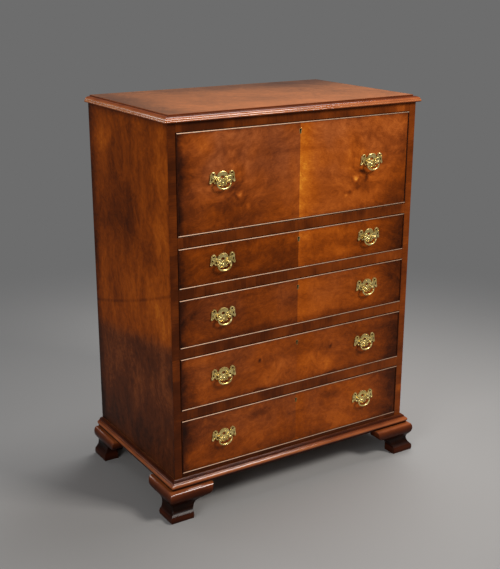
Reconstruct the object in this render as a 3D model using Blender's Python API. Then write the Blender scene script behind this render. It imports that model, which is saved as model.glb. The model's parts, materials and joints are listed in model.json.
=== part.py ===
# Secretaire chest in walnut veneer: four long drawers under a deep secretaire drawer, whose
# front falls forward to make a writing surface. Metres, +Z up, and the front faces -Y.
# The origin is on the floor, at the middle of the overall width and depth.
# Each body has an empty on its joint, and its pieces are built in that empty's own frame.

import math

import bmesh
import bpy
from mathutils import Matrix, Vector

mm = 0.001

# Driving dimensions
carcase_width = 720 * mm
carcase_depth = 430 * mm
foot_height = 81 * mm
base_height = 24 * mm
fall_opening = 243 * mm
long_openings = {
    "drawer_4": 143 * mm,
    "drawer_3": 136 * mm,
    "drawer_2": 123 * mm,
    "drawer_1": 100 * mm,
}

# Carcase boards
side_thickness = 20 * mm
bottom_thickness = 10 * mm
back_thickness = 8 * mm
rail_height = 25 * mm
rail_depth = 45 * mm
dust_thickness = 10 * mm
top_rail_height = 22 * mm
top_thickness = 18 * mm

# Clearances
seat_gap = 0.3 * mm
front_play = 1 * mm
runner_play = 0.8 * mm
run_gap = 0.5 * mm
tray_head_room = 5 * mm
tray_end_gap = 27 * mm
cut_overrun = 4 * mm
weld_distance = 0.001 * mm

# Edge of the top board: how far it stands out past the carcase, and its height, as shares
top_overhang = 10 * mm
top_edge_shares = [
    (0.75, 0.0),
    (1.0, 0.12),
    (1.0, 0.40),
    (0.7, 0.62),
    (0.1, 0.78),
    (-0.5, 0.82),
    (-0.7, 1.0),
]

# Base moulding: stand-out past the carcase and height, as shares, from its underside up
base_projection = 16 * mm
base_inner_inset = 45 * mm
base_edge_shares = [
    (0.70, 0.0),
    (0.84, 0.17),
    (1.0, 0.34),
    (1.0, 0.60),
    (0.86, 0.75),
    (0.56, 0.82),
    (0.50, 0.95),
    (0.25, 1.0),
]

# Ogee bracket feet: height, stand-out and leg length as shares, from the floor up
foot_projection = 27 * mm
foot_leg = 120 * mm
foot_inner_inset = 14 * mm
foot_back_leg = 95 * mm
foot_back_board = 18 * mm
foot_shares = [
    (0.0, 0.96, 0.53),
    (0.03, 1.0, 0.54),
    (0.17, 1.0, 0.54),
    (0.21, 0.95, 0.52),
    (0.26, 0.78, 0.49),
    (0.33, 0.64, 0.49),
    (0.42, 0.56, 0.50),
    (0.50, 0.57, 0.54),
    (0.56, 0.65, 0.62),
    (0.62, 0.79, 0.76),
    (0.70, 0.93, 0.95),
    (0.80, 1.0, 1.0),
    (0.90, 0.97, 1.0),
    (1.0, 0.77, 0.98),
]

# Long drawers
front_thickness = 18 * mm
bead_width = 3 * mm
bead_proud = 2 * mm
tray_wall = 9 * mm
drawer_bottom_lift = 6 * mm
drawer_bottom_thickness = 5 * mm

# Secretaire drawer
secretaire_end_gap = 20 * mm
secretaire_wall = 11 * mm
secretaire_head_room = 2 * mm
hinge_inset = 7 * mm
hinge_height = 20 * mm
sweep_gap = 0.5 * mm
sweep_sides = 48
desk_board_thickness = 15 * mm
leather_lock_gap = 5 * mm
leather_recess = 1.2 * mm
leather_thickness = 0.9 * mm

# Hinge arms of the fall
arm_thickness = 3.6 * mm
arm_radius = 4 * mm
arm_length = 50 * mm
arm_slot_play = 0.6 * mm
hinge_pin_radius = 2 * mm
hinge_pin_reach = 5 * mm
pin_play = 0.1 * mm
pin_sides = 12
arm_end_steps = 6

# Quadrant stays of the fall
stay_radius = 115 * mm
stay_width = 10 * mm
stay_thickness = 2.6 * mm
stay_side_gap = 0.7 * mm
stay_leg_start = 45 * mm
stay_leg_width = 9 * mm
stay_flange_height = 30 * mm
stay_flange_width = 15 * mm
stay_flange_thickness = 2 * mm
stay_floor_gap = 2.6 * mm
stay_steps = 12
stay_pin_radius = 2 * mm
stay_pin_reach = 3.8 * mm
stop_thickness = 5 * mm
stop_gap = 0.6 * mm
stop_bar = 3.4 * mm
stop_head = 9 * mm

# Lock on the fall and the keyholes
lock_width = 62 * mm
lock_height = 32 * mm
lock_thickness = 2.6 * mm
lock_edge_gap = 3 * mm
keyhole_drop = 20 * mm
keyhole_radius = 2.8 * mm
keyhole_slot = 8.0 * mm
keyhole_slot_width = 3.2 * mm
keyhole_steps = 8

# Pigeonholes and small drawers
desk_space = 165 * mm
nest_head_room = 9 * mm
nest_side_play = 0.6 * mm
nest_board = 7 * mm
small_bay_height = 58 * mm
pigeonhole_count = 5
small_drawer_count = 3
small_play = 0.6 * mm
small_wall = 5 * mm
small_front_wall = 9 * mm
small_bottom = 4 * mm
small_end_gap = 10 * mm
knob_radius = 5 * mm
knob_neck_radius = 2.2 * mm
knob_reach = 9 * mm

# Handles
handle_inset = 140 * mm
handle_lift = 2 * mm
plate_half_width = 35 * mm
plate_height = 22 * mm
plate_thickness = 2 * mm
post_spread = 25 * mm
post_reach = 10.5 * mm
post_radius = 2.4 * mm
post_ball_radius = 4 * mm
post_sides = 8
ball_rings = 5
shank_radius = 2.4 * mm
shank_depth = 11 * mm
shank_play = 0.3 * mm
bail_drop = 19.0 * mm
bail_wire = 1.5 * mm
bail_swell = 1.6
bail_side_play = 0.3 * mm
bail_end_past_post = 1.7 * mm
bail_play = 0.15 * mm
bail_steps = 12

# Right half of the pierced plate, as shares of its half width and height, bottom to top
plate_outline_shares = [
    (0.0, -0.691),
    (0.0714, -0.655),
    (0.157, -0.591),
    (0.234, -0.618),
    (0.309, -0.582),
    (0.354, -0.473),
    (0.349, -0.355),
    (0.417, -0.3),
    (0.503, -0.345),
    (0.589, -0.318),
    (0.646, -0.2),
    (0.714, -0.1),
    (0.789, -0.155),
    (0.846, -0.273),
    (0.926, -0.3),
    (0.994, -0.2),
    (0.989, -0.0273),
    (0.949, 0.164),
    (0.943, 0.391),
    (0.937, 0.627),
    (0.869, 0.845),
    (0.76, 0.964),
    (0.629, 0.936),
    (0.543, 0.791),
    (0.526, 0.609),
    (0.469, 0.491),
    (0.394, 0.545),
    (0.366, 0.691),
    (0.274, 0.864),
    (0.143, 0.973),
    (0.0, 1),
]
plate_crest_hole_shares = [
    (0.0, 0.209),
    (0.0857, 0.227),
    (0.137, 0.336),
    (0.103, 0.464),
    (0.0, 0.518),
]
plate_ear_hole_shares = [
    (0.64, 0.655),
    (0.731, 0.591),
    (0.806, 0.673),
    (0.766, 0.782),
    (0.686, 0.782),
]
plate_wing_hole_shares = [
    (0.783, 0.0545),
    (0.851, 0.0273),
    (0.874, 0.164),
    (0.857, 0.327),
    (0.8, 0.3),
    (0.771, 0.173),
]
plate_lobe_hole_shares = [
    (0.486, -0.145),
    (0.571, -0.118),
    (0.611, 0.00909),
    (0.554, 0.136),
    (0.48, 0.0727),
]

# Sizes that follow from the driving dimensions
half_width = carcase_width / 2
half_opening = half_width - side_thickness
carcase_bottom = foot_height + base_height
front_plane = (foot_projection - carcase_depth) / 2
half_front = half_opening - front_play
half_tray = half_opening - runner_play
back_face = carcase_depth - back_thickness
long_stack = sum(long_openings.values()) + rail_height * len(long_openings)
secretaire_floor = bottom_thickness + long_stack
carcase_height = secretaire_floor + fall_opening + top_rail_height

tray_length = back_face - tray_end_gap
secretaire_length = back_face - secretaire_end_gap
fall_bottom = math.hypot(hinge_inset + bead_proud, hinge_height) - hinge_height + sweep_gap
fall_top = fall_opening - front_play
hinge_y = hinge_inset
hinge_z = fall_bottom + hinge_height
inner_face = front_thickness - hinge_inset
sweep_radius = math.hypot(inner_face, hinge_height) + sweep_gap
desk_level = hinge_z + inner_face
half_desk = half_tray - secretaire_wall
tray_front = front_thickness + run_gap
secretaire_inner_back = secretaire_length - secretaire_wall
nest_front = front_thickness + desk_space
nest_back = secretaire_inner_back - seat_gap
nest_floor = desk_level + seat_gap
nest_top = fall_opening - secretaire_head_room - nest_head_room
half_nest = half_desk - nest_side_play
leather_margin = lock_edge_gap + lock_height + leather_lock_gap
stay_outer = half_desk - stay_side_gap
stay_inner = stay_outer - stay_thickness
stay_tail_drop = (hinge_z - stay_floor_gap) * stay_radius / (stay_radius + stay_width / 2)
arm_outer = half_desk - seat_gap
arm_inner = arm_outer - arm_thickness
handle_x = half_width - handle_inset
post_x = post_spread / 2
bail_half_width = post_x + post_ball_radius + bail_wire + bail_side_play

elevation = Matrix(((1, 0, 0), (0, 0, -1), (0, 1, 0)))
side_view = Matrix(((0, 0, 1), (1, 0, 0), (0, 1, 0)))
plan = Matrix.Identity(3)


# Scene and materials
def clear_scene():
    for obj in list(bpy.data.objects):
        bpy.data.objects.remove(obj, do_unlink=True)


def new_collection(name):
    collection = bpy.data.collections.new(name)
    bpy.context.scene.collection.children.link(collection)
    return collection


def finish(name, colour, roughness, metallic=0.0):
    material = bpy.data.materials.new(name)
    material.use_nodes = True
    shader = material.node_tree.nodes["Principled BSDF"]
    shader.inputs["Base Color"].default_value = (*colour, 1.0)
    shader.inputs["Roughness"].default_value = roughness
    shader.inputs["Metallic"].default_value = metallic
    return material


clear_scene()
parts = new_collection("secretaire_chest")
cutters = new_collection("cutters")
cutters.hide_render = True

side_wood = finish("side_walnut", (0.16, 0.045, 0.016), 0.3)
top_wood = finish("top_walnut", (0.30, 0.12, 0.06), 0.28)
front_wood = finish("figured_walnut", (0.30, 0.09, 0.025), 0.28)
rail_wood = finish("cross_banded_walnut", (0.11, 0.03, 0.012), 0.32)
moulding_wood = finish("moulded_walnut", (0.20, 0.055, 0.02), 0.25)
lining_wood = finish("oak_lining", (0.45, 0.30, 0.16), 0.6)
brass = finish("polished_brass", (0.80, 0.66, 0.32), 0.22, 1.0)
leather = finish("writing_leather", (0.10, 0.03, 0.02), 0.5)


# Builders of simple solids
def body(name, parent, place):
    empty = bpy.data.objects.new(name, None)
    parts.objects.link(empty)
    empty.parent = parent
    empty.location = place
    return empty


def piece(name, mesh, material, parent, place=(0, 0, 0)):
    obj = bpy.data.objects.new(name, mesh)
    parts.objects.link(obj)
    if not mesh.materials:
        mesh.materials.append(material)
    obj.parent = parent
    obj.location = place
    return obj


def finished_mesh(name, bm):
    bmesh.ops.recalc_face_normals(bm, faces=bm.faces)
    mesh = bpy.data.meshes.new(name)
    bm.to_mesh(mesh)
    bm.free()
    return mesh


def block_mesh(name, low, high):
    low, high = Vector(low), Vector(high)
    bm = bmesh.new()
    bmesh.ops.create_cube(bm, size=1)
    bmesh.ops.scale(bm, vec=high - low, verts=bm.verts)
    bmesh.ops.translate(bm, vec=(low + high) / 2, verts=bm.verts)
    return finished_mesh(name, bm)


def block(name, low, high, material, parent):
    return piece(name, block_mesh(name, low, high), material, parent)


def prism_mesh(name, loops, view, start, end):
    """A flat outline, with any holes, given its thickness from start to end across the view."""
    curve = bpy.data.curves.new(name, "CURVE")
    curve.dimensions = "2D"
    curve.fill_mode = "BOTH"
    curve.extrude = (end - start) / 2
    for loop in loops:
        spline = curve.splines.new("POLY")
        spline.points.add(len(loop) - 1)
        for point, (x, y) in zip(spline.points, loop):
            point.co = (x, y, 0, 1)
        spline.use_cyclic_u = True
    mesh = mesh_of_curve(name, curve)
    mesh.transform(Matrix.Translation((0, 0, (start + end) / 2)))
    mesh.transform(view.to_4x4())
    return mesh


def mesh_of_curve(name, curve):
    obj = bpy.data.objects.new(name, curve)
    parts.objects.link(obj)
    depsgraph = bpy.context.evaluated_depsgraph_get()
    raw = bpy.data.meshes.new_from_object(obj.evaluated_get(depsgraph))
    bm = bmesh.new()
    bm.from_mesh(raw)
    bmesh.ops.remove_doubles(bm, verts=bm.verts, dist=weld_distance)
    bpy.data.objects.remove(obj, do_unlink=True)
    return finished_mesh(name, bm)


def rod_mesh(name, radius, start, end, sides):
    """A round bar between two points."""
    start, end = Vector(start), Vector(end)
    bm = bmesh.new()
    bmesh.ops.create_cone(
        bm, cap_ends=True, segments=sides, radius1=radius, radius2=radius, depth=(end - start).length
    )
    turn = (end - start).to_track_quat("Z", "Y").to_matrix()
    bmesh.ops.rotate(bm, cent=(0, 0, 0), matrix=turn, verts=bm.verts)
    bmesh.ops.translate(bm, vec=(start + end) / 2, verts=bm.verts)
    return finished_mesh(name, bm)


def ball_mesh(name, radius, centre):
    bm = bmesh.new()
    bmesh.ops.create_uvsphere(bm, u_segments=post_sides, v_segments=ball_rings, radius=radius)
    bmesh.ops.translate(bm, vec=centre, verts=bm.verts)
    return finished_mesh(name, bm)


def loft_mesh(name, sections):
    """A solid through closed sections of like point counts, capped at both ends."""
    bm = bmesh.new()
    rings = [[bm.verts.new(point) for point in section] for section in sections]
    count = len(rings[0])
    for lower, upper in zip(rings, rings[1:]):
        for i in range(count):
            j = (i + 1) % count
            bm.faces.new((lower[i], lower[j], upper[j], upper[i]))
    bm.faces.new(rings[0])
    bm.faces.new(rings[-1])
    return finished_mesh(name, bm)


def combine(obj, operation, tools):
    """Cuts or joins tool meshes, given in the object's own frame, and keeps the result."""
    helpers = []
    for index, mesh in enumerate(tools):
        helper = bpy.data.objects.new(f"{obj.name}_tool_{index}", mesh)
        cutters.objects.link(helper)
        helper.parent = obj.parent
        helper.location = obj.location
        helper.hide_render = True
        helper.display_type = "WIRE"
        modifier = obj.modifiers.new(helper.name, "BOOLEAN")
        modifier.operation = operation
        modifier.solver = "EXACT"
        modifier.object = helper
        helpers.append(helper)
    bpy.context.view_layer.update()
    depsgraph = bpy.context.evaluated_depsgraph_get()
    material = obj.data.materials[0]
    result = bpy.data.meshes.new_from_object(obj.evaluated_get(depsgraph))
    obj.modifiers.clear()
    obj.data = result
    result.materials.clear()
    result.materials.append(material)
    for helper in helpers:
        bpy.data.objects.remove(helper, do_unlink=True)


def cut(obj, *tools):
    combine(obj, "DIFFERENCE", tools)


def join(obj, *tools):
    combine(obj, "UNION", tools)


def outer_radius(inner, sides):
    """Corner radius of a polygon whose flats lie at the inner radius."""
    return inner / math.cos(math.pi / sides)


def rectangle(x0, y0, x1, y1):
    return [(x0, y0), (x1, y0), (x1, y1), (x0, y1)]


# Carcase
def add_carcase(carcase):
    inner = half_opening - seat_gap
    for name, sign in (("side_left", -1), ("side_right", 1)):
        low = (min(sign * half_width, sign * half_opening), 0, 0)
        high = (max(sign * half_width, sign * half_opening), carcase_depth, carcase_height)
        block(name, low, high, side_wood, carcase)
    block("bottom_board", (-inner, 0, 0), (inner, back_face - seat_gap, bottom_thickness), rail_wood, carcase)
    block("back_panel", (-inner, back_face, 0), (inner, carcase_depth, carcase_height), lining_wood, carcase)
    rail_foot = carcase_height - top_rail_height
    block("top_rail", (-inner, 0, rail_foot), (inner, rail_depth, carcase_height), rail_wood, carcase)
    add_top(carcase)
    add_base_moulding(carcase)
    add_feet(carcase)


def add_top(carcase):
    sections = []
    for out_share, rise_share in top_edge_shares:
        out = top_overhang * out_share
        rise = carcase_height + seat_gap + (top_thickness - seat_gap) * rise_share
        x, y = half_width + out, -out
        sections.append([(-x, y, rise), (x, y, rise), (x, carcase_depth, rise), (-x, carcase_depth, rise)])
    piece("top_board", loft_mesh("top_board", sections), top_wood, carcase)


def add_base_moulding(carcase):
    sections = []
    for out_share, rise_share in base_edge_shares:
        out = base_projection * out_share
        rise = -base_height + (base_height - seat_gap) * rise_share
        x, y = half_width + out, -out
        inner_x, inner_y = half_width - base_inner_inset, base_inner_inset
        plan_points = [
            (-x, carcase_depth),
            (-x, y),
            (x, y),
            (x, carcase_depth),
            (inner_x, carcase_depth),
            (inner_x, inner_y),
            (-inner_x, inner_y),
            (-inner_x, carcase_depth),
        ]
        sections.append([(px, py, rise) for px, py in plan_points])
    piece("base_moulding", loft_mesh("base_moulding", sections), moulding_wood, carcase)


def add_feet(carcase):
    """Front feet have the ogee on both faces, back feet on the side only."""
    for side_name, side in (("left", -1), ("right", 1)):
        sections = []
        for rise_share, out_share, leg_share in foot_shares:
            out, leg = foot_projection * out_share, foot_leg * leg_share
            corner_x, corner_y = half_width + out, -out
            inner_x, inner_y = half_width - foot_inner_inset, foot_inner_inset
            points = [
                (corner_x, corner_y),
                (corner_x - leg, corner_y),
                (corner_x - leg, inner_y),
                (inner_x, inner_y),
                (inner_x, corner_y + leg),
                (corner_x, corner_y + leg),
            ]
            sections.append(foot_section(points, side, rise_share))
        name = f"front_foot_{side_name}"
        piece(name, loft_mesh(name, sections), moulding_wood, carcase)
        sections = []
        for rise_share, out_share, leg_share in foot_shares:
            out, leg = foot_projection * out_share, foot_leg * leg_share
            corner_x, inner_x = half_width + out, half_width - foot_inner_inset
            board_y = carcase_depth - foot_back_board
            points = [
                (corner_x, carcase_depth),
                (half_width - foot_back_leg * leg_share, carcase_depth),
                (half_width - foot_back_leg * leg_share, board_y),
                (inner_x, board_y),
                (inner_x, carcase_depth - leg),
                (corner_x, carcase_depth - leg),
            ]
            sections.append(foot_section(points, side, rise_share))
        name = f"back_foot_{side_name}"
        piece(name, loft_mesh(name, sections), moulding_wood, carcase)


def foot_section(points, side, rise_share):
    rise = -carcase_bottom + (foot_height - seat_gap) * rise_share
    return [(side * x, y, rise) for x, y in points]


def add_divider(name, opening_floor, carcase):
    """Front rail with the dust board behind it, flush on top, which the drawer above runs on."""
    inner = half_opening - seat_gap
    foot, top = opening_floor - rail_height, opening_floor
    profile = [
        (0, foot),
        (rail_depth, foot),
        (rail_depth, top - dust_thickness),
        (back_face - seat_gap, top - dust_thickness),
        (back_face - seat_gap, top),
        (0, top),
    ]
    piece(name, prism_mesh(name, [profile], side_view, -inner, inner), rail_wood, carcase)


# Fronts
def front_mesh(name, low, high):
    """A front whose cockbeads stand proud: the field is set back from the rim."""
    bm = bmesh.new()
    bm.from_mesh(block_mesh(name, low, high))
    field = min(bm.faces, key=lambda face: face.calc_center_median().y)
    bmesh.ops.inset_individual(bm, faces=[field], thickness=bead_width, depth=-bead_proud)
    return finished_mesh(name, bm)


def keyhole_mesh(place, start, end):
    """A round hole with a slot under it, through from start to end."""
    x, z = place
    slot_angle = math.asin(keyhole_slot_width / 2 / keyhole_radius)
    first, sweep = -math.pi / 2 + slot_angle, math.tau - 2 * slot_angle
    loop = []
    for step in range(keyhole_steps + 1):
        angle = first + sweep * step / keyhole_steps
        loop.append((x + keyhole_radius * math.cos(angle), z + keyhole_radius * math.sin(angle)))
    loop.append((x - keyhole_slot_width / 2, z - keyhole_slot))
    loop.append((x + keyhole_slot_width / 2, z - keyhole_slot))
    return prism_mesh("keyhole", [loop], elevation, -end, -start)


def shank_holes(centre_z, field_y):
    """Blind holes for the posts of both handles, in a front whose field is at field_y."""
    radius = outer_radius(shank_radius + shank_play, post_sides)
    holes = []
    for handle in (-handle_x, handle_x):
        for post in (-post_x, post_x):
            start = (handle + post, field_y - cut_overrun, centre_z)
            end = (handle + post, field_y + shank_depth + shank_play, centre_z)
            holes.append(rod_mesh("shank_hole", radius, start, end, post_sides))
    return holes


# Handles
def mirrored(shares):
    """The whole outline from its right half, which starts and ends on the middle line."""
    right = [(x * plate_half_width, z * plate_height) for x, z in shares]
    left = [(-x, z) for x, z in reversed(right) if x > 0]
    return right + left


def side_holes(shares):
    right = [(x * plate_half_width, z * plate_height) for x, z in shares]
    left = [(-x, z) for x, z in reversed(right)]
    return [right, left]


def build_plate_mesh():
    """Pierced back plate with its two posts, whose balls are bored for the bail."""
    loops = [mirrored(plate_outline_shares), mirrored(plate_crest_hole_shares)]
    for shares in (plate_ear_hole_shares, plate_wing_hole_shares, plate_lobe_hole_shares):
        loops += side_holes(shares)
    mesh = prism_mesh("handle_plate", loops, elevation, seat_gap, seat_gap + plate_thickness)
    plate = piece("plate_pattern", mesh, brass, None)
    solids = []
    for x in (-post_x, post_x):
        solids.append(rod_mesh("post", post_radius, (x, shank_depth, 0), (x, -post_reach, 0), post_sides))
        solids.append(ball_mesh("ball", post_ball_radius, (x, -post_reach, 0)))
    join(plate, *solids)
    radius = outer_radius(bail_wire + bail_play, post_sides)
    far = post_x + post_ball_radius + cut_overrun
    cut(plate, rod_mesh("bore", radius, (-far, -post_reach, 0), (far, -post_reach, 0), post_sides))
    result = plate.data
    bpy.data.objects.remove(plate, do_unlink=True)
    return result


def build_bail_mesh():
    """Half-round bail hanging from its two ends, which turn in to the balls of the posts."""
    curve = bpy.data.curves.new("bail", "CURVE")
    curve.dimensions = "3D"
    curve.bevel_depth = bail_wire
    curve.bevel_resolution = 1
    curve.use_fill_caps = True
    end_x = post_x - bail_end_past_post
    points = [(end_x, 0)]
    for step in range(bail_steps + 1):
        angle = math.pi * step / bail_steps
        points.append((bail_half_width * math.cos(angle), -bail_drop * math.sin(angle)))
    points.append((-end_x, 0))
    spline = curve.splines.new("POLY")
    spline.points.add(len(points) - 1)
    for point, (x, z) in zip(spline.points, points):
        point.co = (x, 0, z, 1)
        point.radius = 1 - (bail_swell - 1) * z / bail_drop
    mesh = mesh_of_curve("handle_bail", curve)
    mesh.materials.append(brass)
    return mesh


def add_handles(prefix, parent, centre_z, field_y, plate_mesh, bail_mesh):
    for side_name, x in (("left", -handle_x), ("right", handle_x)):
        piece(f"{prefix}_plate_{side_name}", plate_mesh, brass, parent, (x, field_y, centre_z))
        bail_place = (x, field_y - post_reach, centre_z)
        piece(f"{prefix}_bail_{side_name}", bail_mesh, brass, parent, bail_place)


# Long drawers
def add_long_drawer(name, opening, floor, carcase, plate_mesh, bail_mesh):
    drawer = body(f"{name}_slide", carcase, (0, 0, floor))
    low = (-half_front, -bead_proud, front_play)
    high = (half_front, front_thickness, opening - front_play)
    front = piece(f"{name}_front", front_mesh(f"{name}_front", low, high), front_wood, drawer)
    centre_z = opening / 2 + handle_lift
    keyhole = (0, opening - front_play - keyhole_drop)
    through = (-bead_proud - cut_overrun, front_thickness + cut_overrun)
    cut(front, keyhole_mesh(keyhole, *through), *shank_holes(centre_z, 0))
    tray_start = front_thickness + seat_gap
    outline = [
        (-half_tray, tray_start),
        (-half_tray, tray_length),
        (half_tray, tray_length),
        (half_tray, tray_start),
        (half_tray - tray_wall, tray_start),
        (half_tray - tray_wall, tray_length - tray_wall),
        (-half_tray + tray_wall, tray_length - tray_wall),
        (-half_tray + tray_wall, tray_start),
    ]
    tray = prism_mesh(f"{name}_tray", [outline], plan, run_gap, opening - tray_head_room)
    piece(f"{name}_tray", tray, lining_wood, drawer)
    inner_x = half_tray - tray_wall - seat_gap
    low = (-inner_x, tray_start, drawer_bottom_lift)
    high = (inner_x, tray_length - tray_wall - seat_gap, drawer_bottom_lift + drawer_bottom_thickness)
    block(f"{name}_bottom", low, high, lining_wood, drawer)
    add_handles(name, drawer, centre_z, 0, plate_mesh, bail_mesh)


# Secretaire drawer
def add_secretaire_box(drawer):
    tray_end = secretaire_length
    outline = [
        (-half_tray, tray_front),
        (-half_tray, tray_end),
        (half_tray, tray_end),
        (half_tray, tray_front),
        (half_desk, tray_front),
        (half_desk, secretaire_inner_back),
        (-half_desk, secretaire_inner_back),
        (-half_desk, tray_front),
    ]
    top = fall_opening - secretaire_head_room
    mesh = prism_mesh("secretaire_tray", [outline], plan, run_gap, top)
    tray = piece("secretaire_tray", mesh, lining_wood, drawer)
    cut(tray, fall_sweep())
    join(tray, *stay_stops())
    add_desk_board(drawer)


def fall_sweep():
    """The round space that the foot of the fall turns in."""
    radius = outer_radius(sweep_radius, sweep_sides)
    far = half_tray + cut_overrun
    return rod_mesh("sweep", radius, (-far, hinge_y, hinge_z), (far, hinge_y, hinge_z), sweep_sides)


def stay_stops():
    """Hooked keeps on the drawer sides, which the tail pins of the stays meet when the fall is level."""
    low_y = tray_front
    high_y = low_y + stop_thickness
    hook_foot = hinge_z + stay_radius - stay_width
    hook_arm = hinge_z + stay_radius + stay_width / 2 + stop_gap
    hook_top = hook_arm + stop_head
    bar_outer = stay_inner - stop_gap
    bar_inner = bar_outer - stop_bar
    in_wall = half_desk + stop_bar
    hook = [
        (bar_inner, hook_foot),
        (bar_outer, hook_foot),
        (bar_outer, hook_arm),
        (in_wall, hook_arm),
        (in_wall, hook_top),
        (bar_inner, hook_top),
    ]
    solids = []
    for sign in (-1, 1):
        outline = [(sign * x, z) for x, z in hook]
        solids.append(prism_mesh("stay_stop", [outline], elevation, -high_y, -low_y))
    return solids


def add_desk_board(drawer):
    """Board at the level of the open fall, hollowed in front, with slots for the arms and stays."""
    inner_x = half_desk - seat_gap
    low = (-inner_x, hinge_y, desk_level - desk_board_thickness)
    high = (inner_x, secretaire_inner_back - seat_gap, desk_level)
    board = block("desk_board", low, high, front_wood, drawer)
    slots = [fall_sweep()]
    foot = desk_level - desk_board_thickness - cut_overrun
    top = desk_level + cut_overrun
    stay_near = hinge_y + math.sqrt((stay_radius - stay_width / 2) ** 2 - inner_face**2) - stop_gap
    stay_far = hinge_y + stay_radius + stay_width / 2 + stop_gap
    for sign in (-1, 1):
        far = sign * (half_desk + cut_overrun)
        arm_x = sorted((sign * (arm_inner - seat_gap), far))
        arm_end = hinge_y + arm_length + seat_gap
        slots.append(block_mesh("arm_slot", (arm_x[0], 0, foot), (arm_x[1], arm_end, top)))
        stay_x = sorted((sign * (stay_inner - stay_pin_reach - stay_side_gap), far))
        slots.append(block_mesh("stay_slot", (stay_x[0], stay_near, foot), (stay_x[1], stay_far, top)))
    cut(board, *slots)


def add_hinge_arms(drawer):
    """Brass arms let into the desk board, each with the pin that the fall turns on."""
    for name, sign in (("left", -1), ("right", 1)):
        profile = []
        for step in range(arm_end_steps + 1):
            angle = math.pi / 2 + math.pi * step / arm_end_steps
            profile.append((hinge_y + arm_radius * math.cos(angle), hinge_z + arm_radius * math.sin(angle)))
        profile.append((hinge_y + arm_length, hinge_z - arm_radius))
        profile.append((hinge_y + arm_length, hinge_z + arm_radius))
        start, end = sorted((sign * arm_inner, sign * arm_outer))
        mesh = prism_mesh(f"fall_hinge_{name}", [profile], side_view, start, end)
        arm = piece(f"fall_hinge_{name}", mesh, brass, drawer)
        pin_start = (start - hinge_pin_reach, hinge_y, hinge_z)
        pin_end = (end + hinge_pin_reach, hinge_y, hinge_z)
        join(arm, rod_mesh("hinge_pin", hinge_pin_radius, pin_start, pin_end, pin_sides))


def nest_columns(count):
    """Left and right edges of each bay in a row of equal bays."""
    width = (2 * half_nest - nest_board * (count + 1)) / count
    edges = []
    for index in range(count):
        left = -half_nest + nest_board + index * (width + nest_board)
        edges.append((left, left + width))
    return edges


def add_pigeonholes(drawer):
    """Pigeonholes over a row of bays for the small drawers."""
    bay_floor = nest_floor + nest_board
    shelf = bay_floor + small_bay_height
    hole_floor, hole_top = shelf + nest_board, nest_top - nest_board
    loops = [rectangle(-half_nest, nest_floor, half_nest, nest_top)]
    for left, right in nest_columns(small_drawer_count):
        loops.append(rectangle(left, bay_floor, right, shelf))
    for left, right in nest_columns(pigeonhole_count):
        loops.append(rectangle(left, hole_floor, right, hole_top))
    mesh = prism_mesh("pigeonhole_unit", loops, elevation, -nest_back, -nest_front)
    piece("pigeonhole_unit", mesh, front_wood, drawer)


def add_small_drawers(drawer):
    """Open-topped small drawers with a turned brass knob on each front."""
    bay_floor = nest_floor + nest_board
    depth = nest_back - nest_front - small_end_gap
    for index, (left, right) in enumerate(nest_columns(small_drawer_count)):
        name = f"small_drawer_{index + 1}"
        slide = body(f"{name}_slide", drawer, ((left + right) / 2, nest_front, bay_floor))
        half = (right - left) / 2 - small_play
        top = small_bay_height - small_play
        box = block(name, (-half, 0, seat_gap), (half, depth, top), lining_wood, slide)
        pocket_low = (-half + small_wall, small_front_wall, seat_gap + small_bottom)
        pocket_high = (half - small_wall, depth - small_wall, top + cut_overrun)
        cut(box, block_mesh("pocket", pocket_low, pocket_high))
        knob_z = small_bay_height / 2
        neck = rod_mesh("neck", knob_neck_radius, (0, small_wall, knob_z), (0, -knob_reach, knob_z), post_sides)
        join(box, neck, ball_mesh("knob", knob_radius, (0, -knob_reach, knob_z)))


# Fall front
def add_fall(fall, plate_mesh, bail_mesh):
    """The fall in its hinge's frame: y and z are measured from the hinge line."""
    foot, top = fall_bottom - hinge_z, fall_top - hinge_z
    field_y = -hinge_inset
    low = (-half_front, field_y - bead_proud, foot)
    high = (half_front, inner_face, top)
    front = piece("fall_front", front_mesh("fall_front", low, high), front_wood, fall)
    centre_z = fall_opening / 2 + handle_lift - hinge_z
    keyhole = (0, top - keyhole_drop)
    through = (low[1] - cut_overrun, inner_face + cut_overrun)
    cuts = [keyhole_mesh(keyhole, *through), *shank_holes(centre_z, field_y)]
    cuts += fall_hinge_mortises(foot)
    leather_low = (-half_front + leather_margin, inner_face - leather_recess, foot + leather_margin)
    leather_high = (half_front - leather_margin, inner_face + cut_overrun, top - leather_margin)
    cuts.append(block_mesh("leather_recess", leather_low, leather_high))
    cut(front, *cuts)
    inset = Vector((seat_gap, seat_gap, seat_gap))
    low = Vector(leather_low) + inset
    high = Vector(leather_high) - inset
    high.y = low.y + leather_thickness
    block("writing_leather", low, high, leather, fall)
    lock_top = top - lock_edge_gap
    low = (-lock_width / 2, inner_face + seat_gap, lock_top - lock_height)
    high = (lock_width / 2, inner_face + seat_gap + lock_thickness, lock_top)
    block("fall_lock", low, high, brass, fall)
    add_handles("fall", fall, centre_z, field_y, plate_mesh, bail_mesh)
    add_stays(fall)


def fall_hinge_mortises(foot):
    """Notches for the arms, open behind and below, and the bores for their pins."""
    reach = arm_radius + arm_slot_play
    solids = []
    for sign in (-1, 1):
        slot_x = sorted((sign * (arm_inner - seat_gap), sign * (arm_outer + seat_gap)))
        low = (slot_x[0], -reach, foot - cut_overrun)
        high = (slot_x[1], inner_face + cut_overrun, reach)
        solids.append(block_mesh("arm_notch", low, high))
        start = (slot_x[0] - hinge_pin_reach, 0, 0)
        end = (slot_x[1] + hinge_pin_reach, 0, 0)
        radius = outer_radius(hinge_pin_radius + pin_play, pin_sides)
        solids.append(rod_mesh("pin_bore", radius, start, end, pin_sides))
    return solids


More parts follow.
